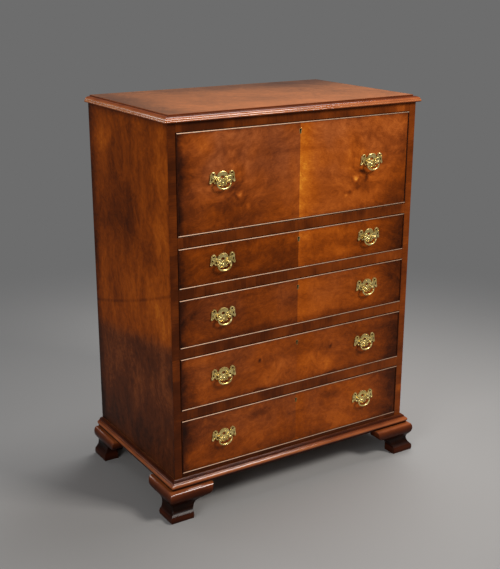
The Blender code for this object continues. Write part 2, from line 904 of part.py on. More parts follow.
def add_stays(fall):
    """Brass quadrants centred on the hinge line, fixed to the fall and free in the drawer."""
    outer_edge, inner_edge = stay_radius + stay_width / 2, stay_radius - stay_width / 2
    face = inner_face + seat_gap
    leg_back = face + stay_leg_width
    tail = -math.asin(stay_tail_drop / stay_radius)
    outer_head = math.acos(face / outer_edge)
    inner_head = math.acos(leg_back / inner_edge)
    profile = [(face, stay_leg_start)]
    profile += [arc_point(outer_edge, outer_head, tail, step) for step in range(stay_steps + 1)]
    profile += [arc_point(inner_edge, tail, inner_head, step) for step in range(stay_steps + 1)]
    profile.append((leg_back, stay_leg_start))
    pin_y = stay_radius * math.cos(tail)
    for name, sign in (("left", -1), ("right", 1)):
        start, end = sorted((sign * stay_inner, sign * stay_outer))
        mesh = prism_mesh(f"stay_{name}", [profile], side_view, start, end)
        stay = piece(f"stay_{name}", mesh, brass, fall)
        flange_x = sorted((sign * stay_outer, sign * (stay_outer - stay_flange_width)))
        low = (flange_x[0], face, stay_leg_start)
        high = (flange_x[1], face + stay_flange_thickness, stay_leg_start + stay_flange_height)
        pin_start = (sign * (stay_outer - stay_thickness / 2), pin_y, -stay_tail_drop)
        pin_end = (sign * (stay_inner - stay_pin_reach), pin_y, -stay_tail_drop)
        pin = rod_mesh("stay_pin", stay_pin_radius, pin_start, pin_end, post_sides)
        join(stay, block_mesh("stay_flange", low, high), pin)


def arc_point(radius, first, last, step):
    angle = first + (last - first) * step / stay_steps
    return (radius * math.cos(angle), radius * math.sin(angle))


def build():
    chest = body("secretaire_chest_frame", None, (0, 0, 0))
    carcase = body("carcase", chest, (0, front_plane, carcase_bottom))
    plate_mesh = build_plate_mesh()
    bail_mesh = build_bail_mesh()
    add_carcase(carcase)
    floor = bottom_thickness
    for index, (name, opening) in enumerate(long_openings.items()):
        add_long_drawer(name, opening, floor, carcase, plate_mesh, bail_mesh)
        floor += opening + rail_height
        add_divider(f"divider_{len(long_openings) - index}", floor, carcase)
    drawer = body("secretaire_slide", carcase, (0, 0, secretaire_floor))
    add_secretaire_box(drawer)
    add_hinge_arms(drawer)
    add_pigeonholes(drawer)
    add_small_drawers(drawer)
    fall = body("fall_hinge", drawer, (0, hinge_y, hinge_z))
    add_fall(fall, plate_mesh, bail_mesh)


build()
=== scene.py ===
# Looks of the secretaire chest: veneers, mouldings, brass and the fittings inside, built around
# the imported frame. Metres, +Z up, the front faces -Y. Pieces are placed by the frame's boxes.

import json
import math

import bmesh
import bpy
from mathutils import Matrix, Vector

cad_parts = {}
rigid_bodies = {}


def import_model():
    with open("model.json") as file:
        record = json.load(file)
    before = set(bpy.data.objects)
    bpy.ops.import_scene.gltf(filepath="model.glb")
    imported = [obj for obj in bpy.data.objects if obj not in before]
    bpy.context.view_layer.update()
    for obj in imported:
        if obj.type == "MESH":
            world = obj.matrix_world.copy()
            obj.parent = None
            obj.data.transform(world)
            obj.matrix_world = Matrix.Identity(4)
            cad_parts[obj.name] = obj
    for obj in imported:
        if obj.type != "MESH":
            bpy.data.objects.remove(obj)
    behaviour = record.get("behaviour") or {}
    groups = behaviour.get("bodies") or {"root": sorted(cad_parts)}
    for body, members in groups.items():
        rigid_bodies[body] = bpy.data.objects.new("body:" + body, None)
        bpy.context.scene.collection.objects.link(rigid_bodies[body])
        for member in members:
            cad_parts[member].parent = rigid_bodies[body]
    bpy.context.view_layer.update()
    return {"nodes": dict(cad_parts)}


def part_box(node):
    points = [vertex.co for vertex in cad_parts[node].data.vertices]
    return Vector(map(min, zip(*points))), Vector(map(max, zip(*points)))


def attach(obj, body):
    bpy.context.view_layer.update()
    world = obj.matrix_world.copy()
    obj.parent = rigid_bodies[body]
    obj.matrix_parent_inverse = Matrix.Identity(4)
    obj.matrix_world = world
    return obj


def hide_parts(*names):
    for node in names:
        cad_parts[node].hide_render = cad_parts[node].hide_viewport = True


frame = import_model()

mm = 0.001
weld = 0.001 * mm

long_drawers = ("drawer_1", "drawer_2", "drawer_3", "drawer_4")
sides = (("left", -1), ("right", 1))

# Places that the frame gives
side_low, side_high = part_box("side_right")
half_width = side_high.x
front_plane, back_plane = side_low.y, side_high.y
carcase_foot, carcase_head = side_low.z, side_high.z
top_foot, top_head = (corner.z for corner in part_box("top_board"))
base_foot, base_head = (corner.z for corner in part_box("base_moulding"))
nest_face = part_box("pigeonhole_unit")[0].y

# Sizes of the maker's own details
seat_gap = 0.3 * mm
cut_reach = 10 * mm
crease_angle = 34
bead_width = 3 * mm
bead_proud = 2 * mm
bead_depth = 8 * mm
bead_shadow = 0.15 * mm
banding_thickness = 1.2 * mm
keyhole_radius = 2.8 * mm
keyhole_slot = 8.0 * mm
keyhole_slot_width = 3.2 * mm
keyhole_drop = 20 * mm
rail_depth = 45 * mm
dust_thickness = 10 * mm
back_board_count = 6
back_board_gap = 1.3 * mm
top_overhang = 10 * mm
top_moulding_depth = 6 * mm
base_frame_width = 45 * mm
foot_projection = 27 * mm
foot_leg = 120 * mm
foot_inner_inset = 14 * mm
foot_back_leg = 95 * mm
foot_back_board = 18 * mm
foot_edge = 0.8 * mm
handle_x = 220 * mm
post_x = 12.5 * mm
post_reach = 10.5 * mm
plate_half_width = 35 * mm
plate_height = 22 * mm
plate_thickness = 2.8 * mm
plate_rounding = 0.7 * mm
post_ball_radius = 4 * mm
strand_radius = 1.15 * mm
tray_wall = 9 * mm
tray_back_drop = 8 * mm
slip_width = 6 * mm
slip_height = 5 * mm
dovetail_lap = 9 * mm
dovetail_pitch = 32 * mm
dovetail_slope = 0.14
dovetail_margin = 2 * mm
lock_width = 62 * mm
lock_height = 32 * mm
lock_depth = 9 * mm
lock_drop = 3 * mm
fall_lock_depth = 2.6 * mm
selvedge_width = 9 * mm
selvedge_thickness = 1 * mm
selvedge_setback = 0.5 * mm
bolt_length = 17.4 * mm
bolt_width = 4.2 * mm
bolt_play = 0.3 * mm
secretaire_wall = 11 * mm
tray_start = 18.5 * mm
sweep_radius = 23.3 * mm
hinge_inset = 7 * mm
hinge_height = 20 * mm
hinge_pin_radius = 2 * mm
hinge_pin_reach = 5 * mm
inner_face = 11 * mm
arm_radius = 4 * mm
arm_length = 50 * mm
arm_slot_play = 0.6 * mm
stay_radius = 115 * mm
stay_width = 10 * mm
stay_thickness = 2.6 * mm
stay_leg_start = 45 * mm
stay_leg_width = 9 * mm
stay_flange_height = 30 * mm
stay_flange_width = 15 * mm
stay_flange_thickness = 2 * mm
stay_pin_radius = 2 * mm
stay_pin_reach = 3.8 * mm
stay_floor_gap = 2.6 * mm
keep_gap = 0.6 * mm
keep_bar = 3.4 * mm
keep_head = 9 * mm
keep_depth = 5 * mm
nest_board = 7 * mm
small_bay_height = 58 * mm
pigeonhole_count = 5
small_drawer_count = 3
small_wall = 5 * mm
small_front_wall = 9 * mm
small_bottom = 4 * mm
small_bead = 1.8 * mm
small_bead_depth = 8 * mm
valance_drop = 20 * mm
valance_setback = 3 * mm
valance_thickness = 5 * mm
gilt_lift = 0.06 * mm
gilt_depth = 0.1 * mm
stamp_inset = 14.4 * mm
stamp_distance = 8 * mm

# The floor, its colour, and how far off it fades to the backdrop's
floor_reach = 40.0
floor_thickness = 20 * mm
floor_colour = (145, 144, 143)
backdrop_colour = (109, 109, 109)
backdrop_start = 0.4
backdrop_full = 2.1

# The photograph's camera: place, lens in millimetres, and degrees turned, dipped and rolled
camera_place = (-1.38362, -2.16076, 1.31122)
camera_lens = 63.25
camera_turn = -32.35
camera_dip = 17.64
camera_roll = 0.13

# The fall's hinge line and the stays' places
pivot_y, pivot_z = front_plane + hinge_inset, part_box("fall_front")[0].z + hinge_height
stay_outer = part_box("stay_right")[1].x
stay_inner = stay_outer - stay_thickness
stay_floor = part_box("divider_1")[1].z + stay_floor_gap
stay_tail_drop = (pivot_z - stay_floor) * stay_radius / (stay_radius + stay_width / 2)

# Lower edge of a valance: across its bay, and down from its top, as shares
valance_shares = [
    (0.0, 1.0), (0.05, 0.62), (0.18, 0.40), (0.33, 0.46), (0.42, 0.38), (0.50, 0.16),
    (0.58, 0.38), (0.67, 0.46), (0.82, 0.40), (0.95, 0.62), (1.0, 1.0),
]

# Right half of a handle's plate, its piercings and its raised lines, as shares of its half
# width and height. The outline, the crest's piercing and its raised line end on the middle line.
plate_outline_shares = [
    (0.0, -0.691), (0.0714, -0.655), (0.157, -0.591), (0.234, -0.618), (0.309, -0.582),
    (0.354, -0.473), (0.349, -0.355), (0.417, -0.3), (0.503, -0.345), (0.589, -0.318),
    (0.646, -0.2), (0.714, -0.1), (0.789, -0.155), (0.846, -0.273), (0.926, -0.3),
    (0.994, -0.2), (0.989, -0.0273), (0.949, 0.164), (0.943, 0.391), (0.937, 0.627),
    (0.869, 0.845), (0.76, 0.964), (0.629, 0.936), (0.543, 0.791), (0.526, 0.609),
    (0.469, 0.491), (0.394, 0.545), (0.366, 0.691), (0.274, 0.864), (0.143, 0.973), (0.0, 1),
]
crest_hole_shares = [(0.0, 0.209), (0.0857, 0.227), (0.137, 0.336), (0.103, 0.464), (0.0, 0.518)]
ear_hole_shares = [(0.64, 0.655), (0.731, 0.591), (0.806, 0.673), (0.766, 0.782), (0.686, 0.782)]
lobe_hole_shares = [
    (0.486, -0.145), (0.571, -0.118), (0.611, 0.00909), (0.554, 0.136), (0.48, 0.0727),
]
wing_hole_shares = [
    (0.783, 0.0545), (0.851, 0.0273), (0.874, 0.164), (0.857, 0.327), (0.8, 0.3),
    (0.771, 0.173),
]
crest_shares = [(0.349, 0.664), (0.246, 0.836), (0.126, 0.909), (0.0, 0.936)]
scroll_shares = [
    (0.657, 0.4), (0.583, 0.591), (0.611, 0.818), (0.726, 0.891), (0.851, 0.773),
    (0.891, 0.564), (0.8, 0.436),
]
arm_shares = [
    (0.206, 0.364), (0.343, 0.309), (0.503, 0.391), (0.657, 0.4), (0.743, 0.136),
    (0.846, -0.118), (0.931, -0.191),
]
# Cast knobs on the plate: place across and up as shares, and radius
plate_bosses = [
    (0.0, -0.30, 4.6 * mm),
    (0.0, 0.06, 2.3 * mm),
    (0.30, -0.48, 2.3 * mm),
    (0.55, -0.24, 2.0 * mm),
    (0.92, -0.20, 2.2 * mm),
]
# Turned profiles: radius and reach, as shares of a boss's radius
boss_profile = [
    (1.0, -0.2), (1.0, 0.05), (0.86, 0.20), (0.62, 0.20), (0.50, 0.30), (0.26, 0.44), (0.08, 0.47),
]
# The same in millimetres, of a handle's post up to its ball, of the nut behind it and of a small knob
rosette_profile = [
    (4.6, -0.6), (4.6, 0.3), (4.1, 0.9), (3.5, 0.5), (2.9, 0.6), (2.7, 1.6), (1.9, 2.1), (1.8, 3.3),
]
nut_profile = [
    (1.6, 0.4), (4.6, 0.4), (5.2, 0.9), (5.2, 2.2), (4.6, 2.8), (2.2, 2.8), (1.7, 3.0), (1.7, 4.6),
    (1.2, 5.0),
]
knob_profile = [
    (4.2, -1.5), (4.4, 0.6), (2.6, 1.2), (2.0, 3.0), (2.3, 4.4), (4.4, 6.2), (5.0, 8.8),
    (4.5, 11.3), (2.8, 13.2), (0.8, 13.9),
]
# Right half of a bail from its end down to its middle, in millimetres: across, up and radius
bail_line = [
    (10.8, 0.0, 1.5), (14.6, 0.0, 1.5), (17.0, -0.9, 1.5), (18.3, -4.6, 1.6), (17.6, -9.6, 1.85),
    (14.6, -14.1, 2.1), (9.4, -17.4, 2.3), (4.0, -18.8, 2.4), (0.0, -19.0, 2.4),
]

# The feet's rounded pad, and the ogee above it: height, stand-out and leg length, as shares
pad_shares = [
    (0.0, 0.94, 0.53),
    (0.015, 0.965, 0.532),
    (0.04, 0.99, 0.536),
    (0.08, 1.0, 0.54),
    (0.125, 1.0, 0.54),
    (0.165, 0.985, 0.535),
    (0.195, 0.955, 0.53),
]
ogee_shares = [
    (0.215, 0.91, 0.52),
    (0.26, 0.78, 0.49),
    (0.33, 0.64, 0.49),
    (0.42, 0.56, 0.50),
    (0.50, 0.57, 0.54),
    (0.56, 0.65, 0.62),
    (0.62, 0.79, 0.76),
    (0.70, 0.93, 0.95),
    (0.80, 1.0, 1.0),
    (0.88, 0.985, 1.0),
    (0.94, 0.93, 1.0),
    (0.975, 0.85, 0.99),
    (1.0, 0.74, 0.98),
]


# Helpers: a workshop that pieces pass through before they ride on their bodies
workshop = bpy.data.collections.new("workshop")
bpy.context.scene.collection.children.link(workshop)


def helper(name, mesh):
    obj = bpy.data.objects.new(name, mesh)
    workshop.objects.link(obj)
    return obj


def clear_workshop():
    for obj in list(workshop.objects):
        bpy.data.objects.remove(obj, do_unlink=True)
    bpy.data.collections.remove(workshop)


def baked(obj):
    """The object's evaluated shape as a plain mesh; the helper itself is thrown away."""
    bpy.context.view_layer.update()
    depsgraph = bpy.context.evaluated_depsgraph_get()
    mesh = bpy.data.meshes.new_from_object(obj.evaluated_get(depsgraph))
    bpy.data.objects.remove(obj, do_unlink=True)
    return mesh


def opened(*meshes):
    """The meshes together, open to be worked on."""
    bm = bmesh.new()
    for mesh in meshes:
        bm.from_mesh(mesh)
    return bm


def creased(mesh, crease=crease_angle):
    """Shaded smooth, but for edges that turn by more than crease degrees. With 0 none stays sharp."""
    mesh.shade_smooth()
    if crease:
        mesh.set_sharp_from_angle(angle=math.radians(crease))
    return mesh


def closed_mesh(name, bm, crease):
    mesh = bpy.data.meshes.new(name)
    bm.to_mesh(mesh)
    bm.free()
    return creased(mesh, crease)


def mesh_from(name, bm, crease=crease_angle):
    """A finished shape: welded, with its faces outwards."""
    bmesh.ops.remove_doubles(bm, verts=bm.verts, dist=weld)
    bmesh.ops.recalc_face_normals(bm, faces=bm.faces)
    return closed_mesh(name, bm, crease)


def piece(name, mesh, material, body, slot, *nodes):
    """Puts a finished mesh on its body. It stands for the named CAD nodes, and keeps the material
    that it has where none is given."""
    mesh.name = name
    obj = bpy.data.objects.new(name, mesh)
    bpy.context.scene.collection.objects.link(obj)
    if material is not None:
        mesh.materials.clear()
        mesh.materials.append(material)
    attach(obj, body)
    if nodes:
        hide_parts(*nodes)
    return obj


def ease(obj, width=0.5 * mm):
    """Takes the sharpness off the edges, as fine glasspaper does."""
    bevel = obj.modifiers.new("eased_edges", "BEVEL")
    bevel.width = width
    bevel.segments = 2
    bevel.limit_method = "ANGLE"
    bevel.angle_limit = math.radians(40)
    bevel.harden_normals = True
    return obj


def box_mesh(name, low, high):
    low, high = Vector(low), Vector(high)
    bm = bmesh.new()
    bmesh.ops.create_cube(bm, size=1)
    bmesh.ops.scale(bm, vec=high - low, verts=bm.verts)
    bmesh.ops.translate(bm, vec=(low + high) / 2, verts=bm.verts)
    return mesh_from(name, bm, crease=0)


def board(name, low, high, material, body, slot, *nodes, edge=0.5 * mm):
    return ease(piece(name, box_mesh(name, low, high), material, body, slot, *nodes), edge)


def loft_mesh(name, sections, crease=crease_angle):
    """A solid through closed sections of like point counts, capped at both ends."""
    bm = bmesh.new()
    rings = [[bm.verts.new(point) for point in section] for section in sections]
    count = len(rings[0])
    for lower, upper in zip(rings, rings[1:]):
        for i in range(count):
            j = (i + 1) % count
            bm.faces.new((lower[i], lower[j], upper[j], upper[i]))
    bm.faces.new(rings[0])
    bm.faces.new(rings[-1])
    return mesh_from(name, bm, crease)


# Views that outlines are drawn in: (x, z) with depth towards the room, and (y, z) with depth along x
elevation = Matrix(((1, 0, 0), (0, 0, -1), (0, 1, 0)))
side_view = Matrix(((0, 0, 1), (1, 0, 0), (0, 1, 0)))


def outline_curve(name, loops):
    curve = bpy.data.curves.new(name, "CURVE")
    curve.dimensions = "2D"
    curve.fill_mode = "BOTH"
    for loop in loops:
        spline = curve.splines.new("POLY")
        spline.points.add(len(loop) - 1)
        for point, (x, y) in zip(spline.points, loop):
            point.co = (x, y, 0, 1)
        spline.use_cyclic_u = True
    return curve


def prism_mesh(name, loops, view, start, end, edge=0.0, crease=0):
    """A flat outline with its holes, given thickness across the view, its edges eased by edge."""
    curve = outline_curve(name, loops)
    curve.extrude = (end - start) / 2 - edge
    curve.bevel_depth = edge
    curve.bevel_resolution = 1
    curve.offset = -edge
    mesh = baked(helper(name, curve))
    mesh.transform(Matrix.Translation((0, 0, (start + end) / 2)))
    mesh.transform(view.to_4x4())
    return mesh_from(name, opened(mesh), crease)


def rod_mesh(name, radius, start, end, facets=24):
    start, end = Vector(start), Vector(end)
    size = {"radius1": radius, "radius2": radius, "depth": (end - start).length}
    bm = bmesh.new()
    bmesh.ops.create_cone(bm, cap_ends=True, segments=facets, **size)
    turn = (end - start).to_track_quat("Z", "Y").to_matrix()
    bmesh.ops.rotate(bm, cent=(0, 0, 0), matrix=turn, verts=bm.verts)
    bmesh.ops.translate(bm, vec=(start + end) / 2, verts=bm.verts)
    return mesh_from(name, bm)


def joined(name, meshes, crease=crease_angle):
    """Several meshes as one."""
    return closed_mesh(name, opened(*meshes), crease)


def carved(mesh, *tools):
    """The mesh with the tools' shapes cut away."""
    obj = helper(mesh.name, mesh)
    for index, tool in enumerate(tools):
        modifier = obj.modifiers.new(f"cut_{index}", "BOOLEAN")
        modifier.operation = "DIFFERENCE"
        modifier.solver = "EXACT"
        modifier.object = helper(f"{mesh.name}_tool_{index}", tool)
    return creased(baked(obj))


def arc(centre, radius, first, last, steps):
    """Points of an arc in degrees, counted from +x towards +y. The radius may be a pair."""
    across, up = radius if isinstance(radius, tuple) else (radius, radius)
    points = []
    for step in range(steps + 1):
        angle = math.radians(first + (last - first) * step / steps)
        points.append((centre[0] + across * math.cos(angle), centre[1] + up * math.sin(angle)))
    return points


def flowing(points, steps, closed=False):
    """A smooth line through points of any size."""
    found = []
    count = len(points)
    for i in range(count if closed else count - 1):
        if closed:
            a, b, c, d = (points[(i + k) % count] for k in (-1, 0, 1, 2))
        else:
            a, b = points[max(i - 1, 0)], points[i]
            c, d = points[i + 1], points[min(i + 2, count - 1)]
        for step in range(steps):
            t = step / steps
            weights = (
                (-t + 2 * t**2 - t**3) / 2,
                (2 - 5 * t**2 + 3 * t**3) / 2,
                (t + 4 * t**2 - 3 * t**3) / 2,
                (-(t**2) + t**3) / 2,
            )
            columns = zip(a, b, c, d)
            found.append(tuple(sum(w * part for w, part in zip(weights, column)) for column in columns))
    if not closed:
        found.append(tuple(points[-1]))
    return found


def smoothed_cad(node):
    """A CAD node's shape as one welded mesh without its flat triangles' edges."""
    bm = opened(frame["nodes"][node].data)
    bmesh.ops.remove_doubles(bm, verts=bm.verts, dist=weld)
    flat = math.radians(1)
    bmesh.ops.dissolve_limit(bm, angle_limit=flat, verts=bm.verts, edges=bm.edges)
    return mesh_from(node, bm, crease=0)


class Nodes:
    """Nodes under construction, of a geometry tree or of a material."""

    def __init__(self, tree):
        self.tree = tree

    def link(self, output, node, key):
        self.tree.links.new(output, node.inputs[key])

    def add(self, kind, feeds=None, **settings):
        """A node with its settings, fed with constants or with other nodes' outputs."""
        node = self.tree.nodes.new(kind)
        for key, value in settings.items():
            setattr(node, key, value)
        for key, value in (feeds or {}).items():
            if isinstance(value, bpy.types.NodeSocket):
                self.link(value, node, key)
            else:
                node.inputs[key].default_value = value
        return node

    def vector(self, x=0.0, y=0.0, z=0.0):
        return self.add("ShaderNodeCombineXYZ", {"X": x, "Y": y, "Z": z}).outputs[0]

    def math(self, operation, a, b=0.5):
        return self.add("ShaderNodeMath", {0: a, 1: b}, operation=operation).outputs[0]

    def times(self, a, b):
        return self.math("MULTIPLY", a, b)

    def plus(self, a, b):
        return self.math("ADD", a, b)

    def less(self, a, b):
        return self.math("SUBTRACT", a, b)


# Geometry trees for what follows a path or repeats
class Tree(Nodes):
    """One geometry tree. Its inputs are labels, each with the kind of its socket."""

    def __init__(self, name, **inputs):
        super().__init__(bpy.data.node_groups.new(name, "GeometryNodeTree"))
        sockets = self.tree.interface
        self.keys = {}
        for label, kind in inputs.items():
            socket = sockets.new_socket(label, in_out="INPUT", socket_type=f"NodeSocket{kind}")
            self.keys[label] = socket.identifier
        sockets.new_socket("Result", in_out="OUTPUT", socket_type="NodeSocketGeometry")
        self.start = self.tree.nodes.new("NodeGroupInput")

    def given(self, label):
        return self.start.outputs[label]

    def shape_of(self, label):
        """The geometry of the object that is given."""
        return self.add("GeometryNodeObjectInfo", {"Object": self.given(label)}).outputs["Geometry"]

    def attribute(self, name):
        node = self.add("GeometryNodeInputNamedAttribute", {"Name": name}, data_type="FLOAT_VECTOR")
        return node.outputs["Attribute"]

    def close(self, geometry, material):
        """The result is real geometry with its material on it."""
        real = self.add("GeometryNodeRealizeInstances", {"Geometry": geometry})
        finish = self.add("GeometryNodeSetMaterial", {"Geometry": real.outputs[0], "Material": material})
        self.link(finish.outputs[0], self.tree.nodes.new("NodeGroupOutput"), 0)

    def run(self, mesh, **values):
        """Runs the tree on a mesh and gives the plain mesh that comes out."""
        obj = helper(self.tree.name, mesh)
        modifier = obj.modifiers.new(self.tree.name, "NODES")
        modifier.node_group = self.tree
        for label, value in values.items():
            modifier[self.keys[label]] = value
        return baked(obj)


def points_mesh(name, points, edges=(), **vectors):
    """Loose points, or a line of them, that carry named directions."""
    mesh = bpy.data.meshes.new(name)
    mesh.from_pydata(points, edges, [])
    for label, values in vectors.items():
        attribute = mesh.attributes.new(label, "FLOAT_VECTOR", "POINT")
        attribute.data.foreach_set("vector", [part for value in values for part in value])
    return mesh


def moulding_tree():
    """A profile carried along a path with true mitres. Each point of the path holds the two
    directions that its section is drawn in, outward and upward."""
    tree = Tree("mitred_moulding", Path="Geometry", Profile="Object", Wood="Material")
    path, profile = tree.given("Path"), tree.shape_of("Profile")
    path_count = tree.add("GeometryNodeAttributeDomainSize", {"Geometry": path}).outputs["Point Count"]
    count = tree.add("GeometryNodeAttributeDomainSize", {"Geometry": profile}).outputs["Point Count"]
    grid = tree.add("GeometryNodeMeshGrid", {"Vertices X": path_count, "Vertices Y": count})
    index = tree.add("GeometryNodeInputIndex").outputs[0]
    station = tree.math("FLOOR", tree.math("DIVIDE", index, count))
    along_profile = tree.math("MODULO", index, count)
    position = tree.add("GeometryNodeInputPosition").outputs[0]

    def sampled(geometry, value, place):
        feeds = {"Geometry": geometry, "Value": value, "Index": place}
        return tree.add("GeometryNodeSampleIndex", feeds, data_type="FLOAT_VECTOR").outputs["Value"]

    section = sampled(profile, position, along_profile)
    parts = tree.add("ShaderNodeSeparateXYZ", {0: section})
    place = sampled(path, position, station)
    for label, distance in (("outward", parts.outputs["X"]), ("upward", parts.outputs["Y"])):
        direction = sampled(path, tree.attribute(label), station)
        step = tree.add("ShaderNodeVectorMath", {0: direction, "Scale": distance}, operation="SCALE")
        place = tree.add("ShaderNodeVectorMath", {0: place, 1: step.outputs[0]}, operation="ADD").outputs[0]
    placed = tree.add("GeometryNodeSetPosition", {"Geometry": grid.outputs["Mesh"], "Position": place})
    tree.close(placed.outputs[0], tree.given("Wood"))
    return tree


def row_tree():
    """Copies of one pattern at an even step."""
    inputs = {"Start": "Geometry", "Pattern": "Object", "Count": "Int", "Step": "Vector"}
    tree = Tree("row_of_copies", **inputs, Material="Material")
    feeds = {"Count": tree.given("Count"), "Offset": tree.given("Step")}
    line = tree.add("GeometryNodeMeshLine", feeds, mode="OFFSET")
    feeds = {"Points": line.outputs[0], "Instance": tree.shape_of("Pattern")}
    copies = tree.add("GeometryNodeInstanceOnPoints", feeds)
    tree.close(copies.outputs[0], tree.given("Material"))
    return tree


def screw_tree():
    """Slotted screw heads on points, each turned to the point's own direction, facing."""
    inputs = {"Places": "Geometry", "Radius": "Float", "Height": "Float", "Slot": "Float", "Seed": "Int"}
    tree = Tree("screw_heads", **inputs, Metal="Material")
    radius, height, slot = (tree.given(label) for label in ("Radius", "Height", "Slot"))
    head = tree.add("GeometryNodeMeshUVSphere", {"Segments": 16, "Rings": 8, "Radius": radius})
    squeeze = tree.vector(1.0, 1.0, tree.math("DIVIDE", height, radius))
    dome = tree.add("GeometryNodeTransform", {"Geometry": head.outputs["Mesh"], "Scale": squeeze})
    groove = tree.add("GeometryNodeMeshCube", {"Size": tree.vector(tree.times(radius, 1.6), slot, height)})
    feeds = {"Geometry": groove.outputs["Mesh"], "Translation": tree.vector(z=height)}
    raised = tree.add("GeometryNodeTransform", feeds)
    slotted = tree.add("GeometryNodeMeshBoolean", {"Mesh 1": dome.outputs[0]}, operation="DIFFERENCE")
    tree.link(raised.outputs[0], slotted, "Mesh 2")
    feeds = {"Min": 0.0, "Max": math.pi, "Seed": tree.given("Seed")}
    turn = tree.add("FunctionNodeRandomValue", feeds, data_type="FLOAT")
    spin = next(socket for socket in turn.outputs if socket.type == "VALUE")
    aim = tree.add("FunctionNodeAlignRotationToVector", {"Vector": tree.attribute("facing")}, axis="Z")
    feeds = {"Points": tree.given("Places"), "Instance": slotted.outputs["Mesh"], "Rotation": aim.outputs[0]}
    copies = tree.add("GeometryNodeInstanceOnPoints", feeds)
    feeds = {"Instances": copies.outputs[0], "Rotation": tree.vector(z=spin)}
    turned = tree.add("GeometryNodeRotateInstances", feeds)
    tree.close(turned.outputs[0], tree.given("Metal"))
    return tree


def tooling_tree():
    """Copies of a small stamp at an even distance along a line."""
    tree = Tree("tooled_line", Line="Geometry", Stamp="Object", Distance="Float", Gilding="Material")
    curve = tree.add("GeometryNodeMeshToCurve", {"Mesh": tree.given("Line")}).outputs[0]
    feeds = {"Curve": curve, "Length": tree.given("Distance")}
    points = tree.add("GeometryNodeCurveToPoints", feeds, mode="LENGTH")
    feeds = {"Points": points.outputs["Points"], "Instance": tree.shape_of("Stamp")}
    copies = tree.add("GeometryNodeInstanceOnPoints", feeds)
    tree.close(copies.outputs[0], tree.given("Gilding"))
    return tree


carry_profile = moulding_tree()
row_of_copies = row_tree()
screw_heads = screw_tree()
tooled_line = tooling_tree()


def moulded(name, stations, profile, material):
    """Sweeps a closed profile, pairs of (out, up), along stations of (place, outward, upward)."""
    places, outward, upward = zip(*stations)
    path = points_mesh(f"{name}_path", places, outward=outward, upward=upward)
    section = [(x, y, 0) for x, y in [*profile, profile[0]]]
    pattern = helper(f"{name}_profile", points_mesh(f"{name}_profile", section))
    mesh = carry_profile.run(path, Profile=pattern, Wood=material)
    bm = opened(mesh)
    bmesh.ops.remove_doubles(bm, verts=bm.verts, dist=weld)
    open_edges = [edge for edge in bm.edges if edge.is_boundary]
    bmesh.ops.holes_fill(bm, edges=open_edges, sides=0)
    result = mesh_from(name, bm)
    result.materials.append(material)
    return result


def three_sided(level):
    """A path round the left side, the front and the right side of the carcase."""
    up = (0, 0, 1)
    return [
        ((-half_width, back_plane, level), (-1, 0, 0), up),
        ((-half_width, front_plane, level), (-1, -1, 0), up),
        ((half_width, front_plane, level), (1, -1, 0), up),
        ((half_width, back_plane, level), (1, 0, 0), up),
    ]


def round_frame(low, high, level, face=-1):
    """A closed path round a front, whose profile is drawn inwards and towards the room."""
    (x0, z0), (x1, z1) = low, high
    out = (0, face, 0)
    corners = [((x0, z0), (1, 1)), ((x1, z0), (-1, 1)), ((x1, z1), (-1, -1)), ((x0, z1), (1, -1))]
    stations = [((x, level, z), (inward[0], 0, inward[1]), out) for (x, z), inward in corners]
    return [*stations, stations[0]]


def screws(name, places, facing, radius, body, slot="polished_brass", seed=1):
    """Slotted steel heads at the places, all facing one way."""
    mesh = points_mesh(f"{name}_places", places, facing=[facing] * len(places))
    size = {"Radius": radius, "Height": 0.35 * radius, "Slot": 0.28 * radius}
    heads = screw_heads.run(mesh, **size, Seed=seed, Metal=steel)
    return piece(name, creased(heads), None, body, slot)


def row(name, pattern, count, step, material):
    """A mesh of copies of the pattern, which already stands in the first place."""
    start = points_mesh(f"{name}_start", [(0, 0, 0)])
    pattern = helper(f"{name}_pattern", pattern)
    return row_of_copies.run(start, Pattern=pattern, Count=count, Step=step, Material=material)


# Materials: veneers, woods, metals and leather
def srgb(red, green, blue):
    """A colour as it is seen, 0 to 255, in the linear numbers that shaders use."""
    found = []
    for value in (red, green, blue):
        value = value / 255
        found.append(value / 12.92 if value <= 0.04045 else ((value + 0.055) / 1.055) ** 2.4)
    return (*found, 1.0)


